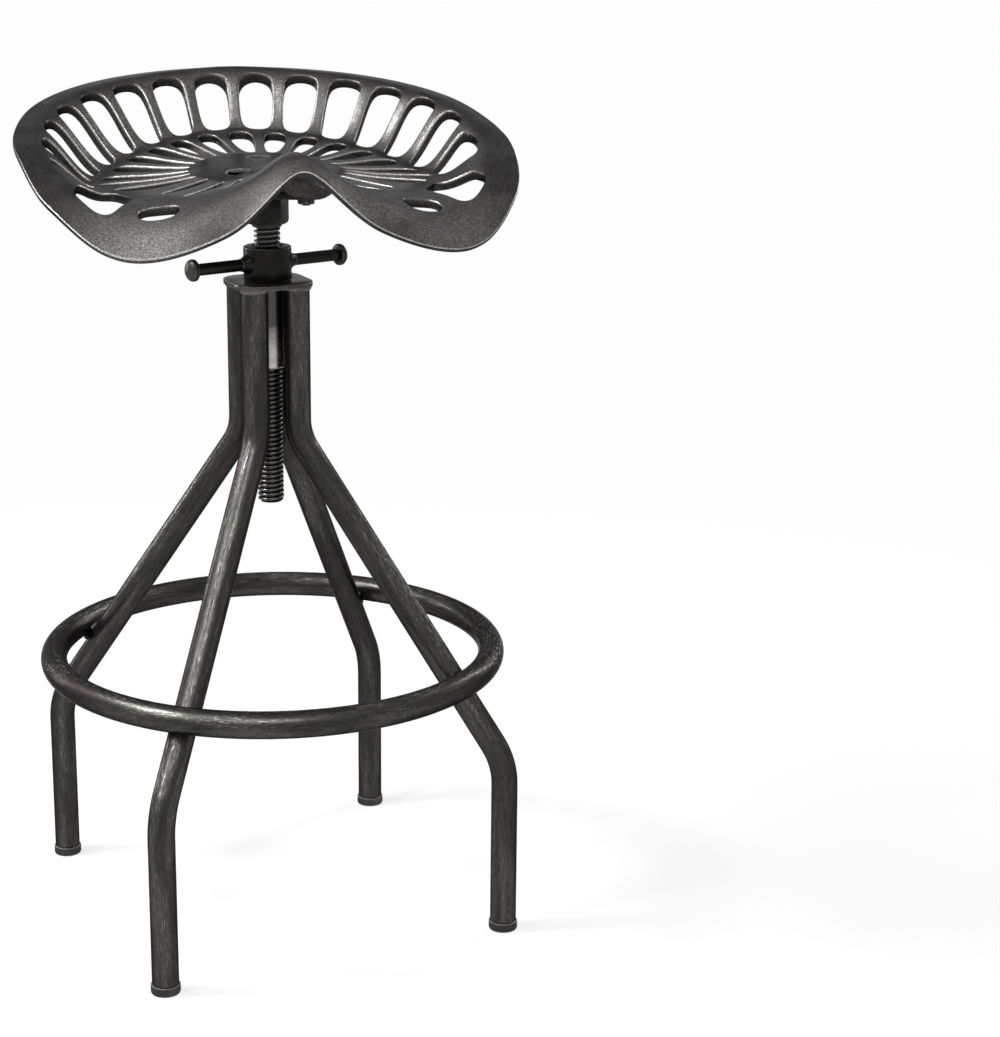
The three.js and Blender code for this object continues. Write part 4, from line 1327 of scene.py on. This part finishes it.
def opening_turns():
    """Turns of the columns that leave the regular pitch in the outer ring.

    Each entry gives, for a column, its turn in degrees at the slot end and at the web."""
    turns = {}

    def spread(side, first, last, outer, inner):
        for step in range(last - first + 1):
            share = step / (last - first)
            turns[side * (first + step)] = (
                side * (outer[0] + (outer[1] - outer[0]) * share),
                side * (inner[0] + (inner[1] - inner[0]) * share))

    spread(1, 29, 31, (95.8, 101), (96, 101))
    spread(1, 31, 33, (101, 113), (101, 107))
    spread(-1, 25, 27, (81.9, 100), (82.3, 94.5))
    spread(-1, 27, 33, (100, 111), (94.5, 105.5))
    for side, outer, inner in ((1, 113, 107), (-1, 111, 105.5)):
        spread(side, *CORNER, (outer, 131), (inner, 124.3))
        spread(side, CORNER[1], LOBE[0], (131, 135.5), (124.3, 131))
    return turns


ODD_TURNS = opening_turns()


def signed(column):
    """A column's number from the back: plus on the left, minus on the right."""
    return column if column <= COLUMNS // 2 else column - COLUMNS


def spoke_turn(spoke):
    """Turn of an inner slot's middle."""
    return math.radians(FRONT_TURNS[spoke]) if spoke in FRONT_TURNS else spoke * PITCH


def odd_squeeze(key):
    """Degrees that a side of an irregular opening is drawn in at its ends, to round them."""
    for low, high in OPENINGS:
        if key in (low, high) and low in ODD_TURNS and high in ODD_TURNS:
            width = ODD_TURNS[high][0] - ODD_TURNS[low][0]
            return 0.09 * width if key == low else -0.09 * width
    return 0


def end_pull(column, row):
    """How far a point of an opening's end is drawn in along its spoke, to round the end."""
    key = signed(column)
    if row in (FIRST_INNER, FIRST_OUTER - 1):
        sign = 1 if row == FIRST_INNER else -1
        return sign * (-0.0005, 0.0018, 0, 0.0018)[abs(key) % 4]
    if row in (FIRST_OUTER, FIRST_BAND - 1):
        sign = 1 if row == FIRST_OUTER else -1
        for low, high in OPENINGS:
            wide = high - low > 2 or (low, high) == WIDE_SLOT
            if key in (low, high):
                wide_pull = 0.003 if row == FIRST_OUTER else 0.006
                return sign * (wide_pull if wide else 0.0024)
            if low < key < high:
                return sign * (0.001 if wide and key in (low + 1, high - 1) else -0.0007)
    return 0


def row_reach(sizes, surface, turn, row, column):
    """Reach of a row of the grid at a turn."""
    web, slot_end, rim = surface.stops(turn)[1:4]
    if row < FIRST_INNER:
        return sizes.disc_radius * DISC_ROWS[row]
    if row < FIRST_OUTER:
        start = sizes.disc_radius * at_turn(INNER_START, turn)
        end = web * at_turn(INNER_END, turn)
        return start + (end - start) * (row - FIRST_INNER) / (INNER_ROWS - 1)
    if row < FIRST_BAND:
        start = web + 0.001
        end = slot_end
        key = signed(column)
        # The corner openings reach further out and in than the slots, most on the left
        if CORNER[0] <= abs(key) <= LOBE[0]:
            past = abs(key) - CORNER[0] + 1
            end += (0.006 if key > 0 else 0.002) * min(1, past / 6)
            start -= 0.007 * min(1, past / 2, (LOBE[0] - abs(key)) / 3)
        return start + (end - start) * ((row - FIRST_OUTER) / (OUTER_ROWS - 1))
    return slot_end + (rim - slot_end) * ((row - FIRST_BAND + 1) / BAND_ROWS)


def inner_turn(sizes, surface, column, row):
    """Turn of a column among the inner slots."""
    key = signed(column)
    side = 1 if key >= 0 else -1
    spoke = round(abs(key) / 4)
    offset = abs(key) - 4 * spoke
    place = spoke_turn(spoke)
    if abs(offset) == 2:
        return side * (place + spoke_turn(spoke + (1 if offset > 0 else -1))) / 2
    reach = row_reach(sizes, surface, place, row, column)
    half = reach * math.tan(PITCH / 2) - sizes.inner_rib_width / 2
    if spoke > REGULAR_INNER:
        half = FRONT_SLOT_HALF
    if row in (FIRST_INNER, FIRST_OUTER - 1):
        half *= 0.8
    return side * (place + offset * half / reach)


def outer_turn(sizes, surface, column, row):
    """Turn of a column among the outer slots and across the rim's band."""
    key = signed(column)
    slot_end = FIRST_BAND - 1
    if key in ODD_TURNS:
        outer, inner = ODD_TURNS[key]
        turn = inner + (outer - inner) * min((row - FIRST_OUTER) / (OUTER_ROWS - 1), 1)
        if row in (FIRST_OUTER, slot_end):
            turn += odd_squeeze(key)
        return math.radians(turn)
    spoke, step = divmod(column, 4)
    rib = spoke * PITCH
    if row > slot_end:
        edge = PITCH / 4
    else:
        edge = sizes.rib_width / 2 / row_reach(sizes, surface, rib, row, column)
        # Ribs widen into the web and the band
        flare = {FIRST_OUTER: 0.2, slot_end: 0.16}.get(row, 0)
        edge += flare * (PITCH / 2 - edge)
    return rib + (0, edge, PITCH / 2, PITCH - edge)[step]


def column_turn(sizes, surface, column, row):
    """Turn of a column of the grid in a row."""
    if row < FIRST_INNER:
        return column * PITCH / 4
    zone = inner_turn if row < FIRST_OUTER else outer_turn
    return zone(sizes, surface, column, row)


def lobe_point(key, row):
    """A point on the edge of the oval hole in a front lobe, or its middle."""
    side = 1 if key > 0 else -1
    along = Vector((side * math.cos(LOBE_LEAN), -math.sin(LOBE_LEAN), 0))
    across = Vector((-side * math.sin(LOBE_LEAN), -math.cos(LOBE_LEAN), 0))
    u = abs(key) - (LOBE[0] + 1)
    v = row - (FIRST_OUTER + 2)
    shrink = LOBE_CORNER if u and v else 1
    offset = along * LOBE_HALF[0] * u * shrink + across * LOBE_HALF[1] * v * shrink
    return Vector((-side * LOBE_PLACE[0], LOBE_PLACE[1], 0)) + offset


def is_open(column, row):
    """Whether the grid's face past a column and a row lies in an opening."""
    low = column if column < COLUMNS // 2 else column - COLUMNS
    if FIRST_INNER <= row < FIRST_OUTER - 1:
        middle = low + 0.5
        spoke = round(middle / 4)
        return abs(middle - 4 * spoke) < 1 and abs(spoke) <= LAST_INNER
    if FIRST_OUTER <= row < FIRST_BAND - 1 and any(start <= low < end for start, end in OPENINGS):
        return True
    lobe = LOBE[0] <= low < LOBE[1] or -LOBE[1] <= low < -LOBE[0]
    return lobe and FIRST_OUTER + 1 <= row < FIRST_OUTER + 3


def seat_slab(sizes, surface):
    """The seat as a flat slab with all its openings, which is dished afterwards."""
    bm = bmesh.new()
    bmesh.ops.create_grid(bm, x_segments=COLUMNS, y_segments=ROWS - 1, size=1)
    spots = {
        vert: (round((vert.co.x + 1) / 2 * COLUMNS), round((vert.co.y + 1) / 2 * (ROWS - 1)))
        for vert in bm.verts}
    opened = [
        face for face in bm.faces
        if is_open(*(min(spots[vert][part] for vert in face.verts) for part in (0, 1)))]
    for vert, (column, row) in spots.items():
        column %= COLUMNS
        key = signed(column)
        if LOBE[0] <= abs(key) <= LOBE[1] and FIRST_OUTER + 1 <= row <= FIRST_OUTER + 3:
            vert.co = lobe_point(key, row)
        else:
            turn = column_turn(sizes, surface, column, row)
            reach = row_reach(sizes, surface, turn, row, column) + end_pull(column, row)
            vert.co = Vector((-reach * math.sin(turn), reach * math.cos(turn), 0))
    bmesh.ops.delete(bm, geom=opened, context="FACES")
    bmesh.ops.remove_doubles(bm, verts=bm.verts, dist=1e-6)
    bmesh.ops.dissolve_degenerate(bm, dist=1e-7, edges=bm.edges)
    thicken(bm, -sizes.wall)
    for level, width in ((0, sizes.lip_round), (-sizes.wall, sizes.lip_round * 0.6)):
        lips = [e for e in bm.edges if e.calc_face_angle(0) > 1
                and all(abs(vert.co.z - level) < 1e-6 for vert in e.verts)]
        bmesh.ops.bevel(
            bm, geom=lips, offset=width, offset_type="OFFSET", segments=2, profile=0.5,
            affect="EDGES", material=-1, clamp_overlap=False)
    return bm


def lip_wear(vert, depth, reach, turn, slot_end):
    """How far a lip is rubbed: along the ribs and round the front, hardly at a slot's ends."""
    lip = unit(1.6 * (1 - vert.normal.z)) * unit((0.4 - depth) / 0.2)
    level = Vector((vert.normal.x, vert.normal.y, 0))
    if level.length < 1e-4:
        return 0.0
    if reach > slot_end + 0.012:
        front = unit((abs(turn) - 1.3) / 0.7)
        return lip * (0.12 + 0.88 * front)
    outward = Vector((-math.sin(turn), math.cos(turn), 0))
    sideways = 1 - level.normalized().dot(outward) ** 2
    return lip * (0.12 + 0.85 * sideways * sideways)


def pommel_share(turn, reach):
    """How much of the pommel's lean a point takes: all of it on the crest."""
    ahead = math.pi - abs(turn)
    return unit((reach - 0.07) / 0.06) * math.exp(-(ahead / 0.36) ** 2)


class STOOL_OT_seat_pan(bpy.types.Operator):
    """Cast the dished, slotted seat"""

    bl_idname = "stool.seat_pan"
    bl_label = "Seat Pan"

    def execute(self, context):
        sizes = context.scene.stool_seat
        surface = SeatSurface(sizes)
        bm = subdivided(seat_slab(sizes, surface), 2)
        wear_and_highlight = bm.verts.layers.float.new("wear_and_highlight")
        along = bm.verts.layers.float_vector.new("along")
        shade = bm.verts.layers.float.new("shade")
        bm.normal_update()
        boxes = [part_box(f"seat_bolt_{side}") for side in BOLTS]
        bolts = [(low + high) / 2 for low, high in boxes]
        for vert in bm.verts:
            depth = unit(-vert.co.z / sizes.wall)
            reach = math.hypot(vert.co.x, vert.co.y)
            turn = math.atan2(-vert.co.x, vert.co.y)
            upright = math.hypot(vert.normal.x, vert.normal.y)
            vert[wear_and_highlight] = lip_wear(vert, depth, reach, turn, surface.stops(turn)[2])
            # Painted shade: how far down an upright slot wall a point lies, which darkens it in the
            # finish
            vert[shade] = unit((depth - 0.1) / 0.25) * min(1.3 * upright, 1)
            vert[along] = Vector((reach, depth * sizes.wall + 0.15 * vert.co.x, 0.015 * abs(turn)))
            place = surface.point(turn, reach) + surface.through(turn, reach) * depth
            place.x += sizes.pommel_lean * pommel_share(turn, reach)
            if depth < 0.5 and reach < sizes.disc_radius:
                for bolt in bolts:
                    gap = math.hypot(vert.co.x - bolt.x, vert.co.y - bolt.y)
                    place.z -= RECESS_DEPTH * eased(unit((RECESS_REACH - gap) / RECESS_SIDE))
                    # Painted highlight: a bright ring round each bolt's recess
                    ridge_highlight = max(0, 1 - abs(gap - RIDGE_REACH) / RIDGE_HALF)
                    vert[wear_and_highlight] = max(vert[wear_and_highlight], 0.8 * ridge_highlight)
            vert.co = place
        bmesh.ops.recalc_face_normals(bm, faces=bm.faces)
        place_piece("cast_seat", bm, seat_finish(), "seat", ["seat_pan"],
                    smooth=60)
        return {"FINISHED"}


# Stage


LAMPS = (
    # Name, place, power in watts, width and height
    ("key", (-0.45, -1.95, 2.9), 54, 0.9, 0.7),
    ("crown", (-1.65, 0.2, 2.4), 78, 0.6, 0.6),
    ("left", (-1.85, -0.8, 2.0), 26, 0.35, 1.0),
    ("left_rear", (-1.9, 1.7, 0.8), 26, 0.4, 1.3),
    ("right_rear", (2.0, 1.2, 1.3), 22, 0.4, 1.5),
)
LAMP_AIM = Vector((0, 0, 0.35))

# The camera that was fitted to the photograph
CAMERA_PLACE = (-0.3129, -1.8856, 0.8778)
CAMERA_DOWN = 0.264
CAMERA_ROUND = math.radians(12.88)
CAMERA_LENS = 83.5
CAMERA_SHIFT = (0.0935, -0.022)


def seen_backdrop(tree):
    """One for the rays that see the white studio, in front of the camera or in gloss."""
    path = add_node(tree, "ShaderNodeLightPath")
    seen = maths(tree, "MAXIMUM", path.outputs["Is Camera Ray"], path.outputs["Is Glossy Ray"])
    return maths(tree, "MAXIMUM", seen, path.outputs["Is Transmission Ray"])


def floor_finish():
    """A pale floor that shows white away from the stool and takes its soft shadow."""
    colours = bpy.context.scene.stool_colours
    finish, tree, shader = begin_finish("Studio floor", {
        "Base Color": (*colours.floor, 1), "Roughness": 0.9, "Specular IOR Level": 0.1})
    if finish:
        glow = add_node(tree, "ShaderNodeEmission", None, {
            "Color": (1, 1, 1, 1), "Strength": 0.985})
        far = vector_maths(tree, "LENGTH", {0: object_place(tree)})["Value"]
        share = maths(tree, "MULTIPLY", seen_backdrop(tree), ramp(tree, far, 0.45, 1.6, 0.7, 1.0))
        mix = add_node(tree, "ShaderNodeMixShader", None, {
            0: share, 1: shader.outputs[0], 2: glow.outputs[0]})
        tree.links.new(mix.outputs[0], tree.nodes["Material Output"].inputs["Surface"])
    return bpy.data.materials["Studio floor"]


def light_world(scene):
    """A white sky for the rays that see it, and a dim one for the light on the stool."""
    world = scene.world or bpy.data.worlds.new("World")
    scene.world = world
    world.use_nodes = True
    tree = world.node_tree
    tree.nodes.clear()
    strength = ramp(tree, seen_backdrop(tree), 0, 1, 0.3, 1)
    sky = add_node(tree, "ShaderNodeBackground", None, {
        "Color": (1, 1, 1, 1), "Strength": strength})
    add_node(tree, "ShaderNodeOutputWorld", None, {0: sky.outputs[0]})


class STOOL_OT_stage(bpy.types.Operator):
    """Set up the pale floor, the soft lights, the world and the camera"""

    bl_idname = "stool.stage"
    bl_label = "Stage"

    def execute(self, context):
        scene = context.scene
        bm = bmesh.new()
        bmesh.ops.create_grid(bm, x_segments=8, y_segments=8, size=40)
        mesh = mesh_of(bm, "studio_floor")
        mesh.materials.append(floor_finish())
        floor = bpy.data.objects.new("studio_floor", mesh)
        scene.collection.objects.link(floor)
        for name, place, power, wide, high in LAMPS:
            light = bpy.data.lights.new(name, "AREA")
            light.energy = power
            light.shape = "RECTANGLE"
            light.size = wide
            light.size_y = high
            lamp = bpy.data.objects.new(name, light)
            scene.collection.objects.link(lamp)
            lamp.location = place
            aim = LAMP_AIM - Vector(place)
            lamp.rotation_euler = aim.to_track_quat("-Z", "Y").to_euler()
        light_world(scene)
        data = bpy.data.cameras.new("camera")
        data.sensor_fit = "HORIZONTAL"
        data.sensor_width = 36
        data.lens = CAMERA_LENS
        data.shift_x, data.shift_y = CAMERA_SHIFT
        camera = bpy.data.objects.new("camera", data)
        scene.collection.objects.link(camera)
        camera.location = CAMERA_PLACE
        camera.rotation_euler = (math.pi / 2 - CAMERA_DOWN, 0, -CAMERA_ROUND)
        scene.camera = camera
        scene.view_settings.view_transform = "Standard"
        return {"FINISHED"}


class STOOL_PT_panel(bpy.types.Panel):
    """Lists the stool's pieces and the sizes and colours behind them"""

    bl_idname = "STOOL_PT_panel"
    bl_label = "Tractor Seat Stool"
    bl_space_type = "VIEW_3D"
    bl_region_type = "UI"
    bl_category = "Stool"

    def draw(self, context):
        layout = self.layout
        for operator in OPERATORS:
            layout.operator(operator.bl_idname)
        for group in ("stool_base", "stool_screw", "stool_seat", "stool_colours"):
            settings = getattr(context.scene, group)
            box = layout.box()
            for name in settings.bl_rna.properties.keys():
                if name not in {"rna_type", "name"}:
                    box.prop(settings, name)


OPERATORS = (
    STOOL_OT_legs,
    STOOL_OT_foot_caps,
    STOOL_OT_foot_ring,
    STOOL_OT_welds,
    STOOL_OT_top_plate,
    STOOL_OT_nut_sleeve,
    STOOL_OT_lifting_screw,
    STOOL_OT_lock_collar,
    STOOL_OT_tommy_bars,
    STOOL_OT_hexagon_boss,
    STOOL_OT_seat_flange,
    STOOL_OT_seat_fixings,
    STOOL_OT_seat_pan,
    STOOL_OT_stage,
)

SETTINGS = {
    "stool_base": StoolBaseSizes,
    "stool_screw": StoolScrewSizes,
    "stool_seat": StoolSeatSizes,
    "stool_colours": StoolColours,
}


def register():
    for group in SETTINGS.values():
        bpy.utils.register_class(group)
    for name, group in SETTINGS.items():
        setattr(bpy.types.Scene, name, PointerProperty(type=group))
    for operator in OPERATORS:
        bpy.utils.register_class(operator)
    bpy.utils.register_class(STOOL_PT_panel)


def unregister():
    bpy.utils.unregister_class(STOOL_PT_panel)
    for operator in reversed(OPERATORS):
        bpy.utils.unregister_class(operator)
    for name, group in SETTINGS.items():
        delattr(bpy.types.Scene, name)
        bpy.utils.unregister_class(group)


def main():
    register()
    make_effects()
    bpy.ops.stool.legs()
    bpy.ops.stool.foot_caps()
    bpy.ops.stool.foot_ring()
    bpy.ops.stool.welds()
    bpy.ops.stool.top_plate()
    bpy.ops.stool.nut_sleeve()
    bpy.ops.stool.lifting_screw()
    bpy.ops.stool.lock_collar()
    bpy.ops.stool.tommy_bars()
    bpy.ops.stool.hexagon_boss()
    bpy.ops.stool.seat_flange()
    bpy.ops.stool.seat_fixings()
    bpy.ops.stool.seat_pan()
    bpy.ops.stool.stage()


if __name__ == "__main__":
    main()
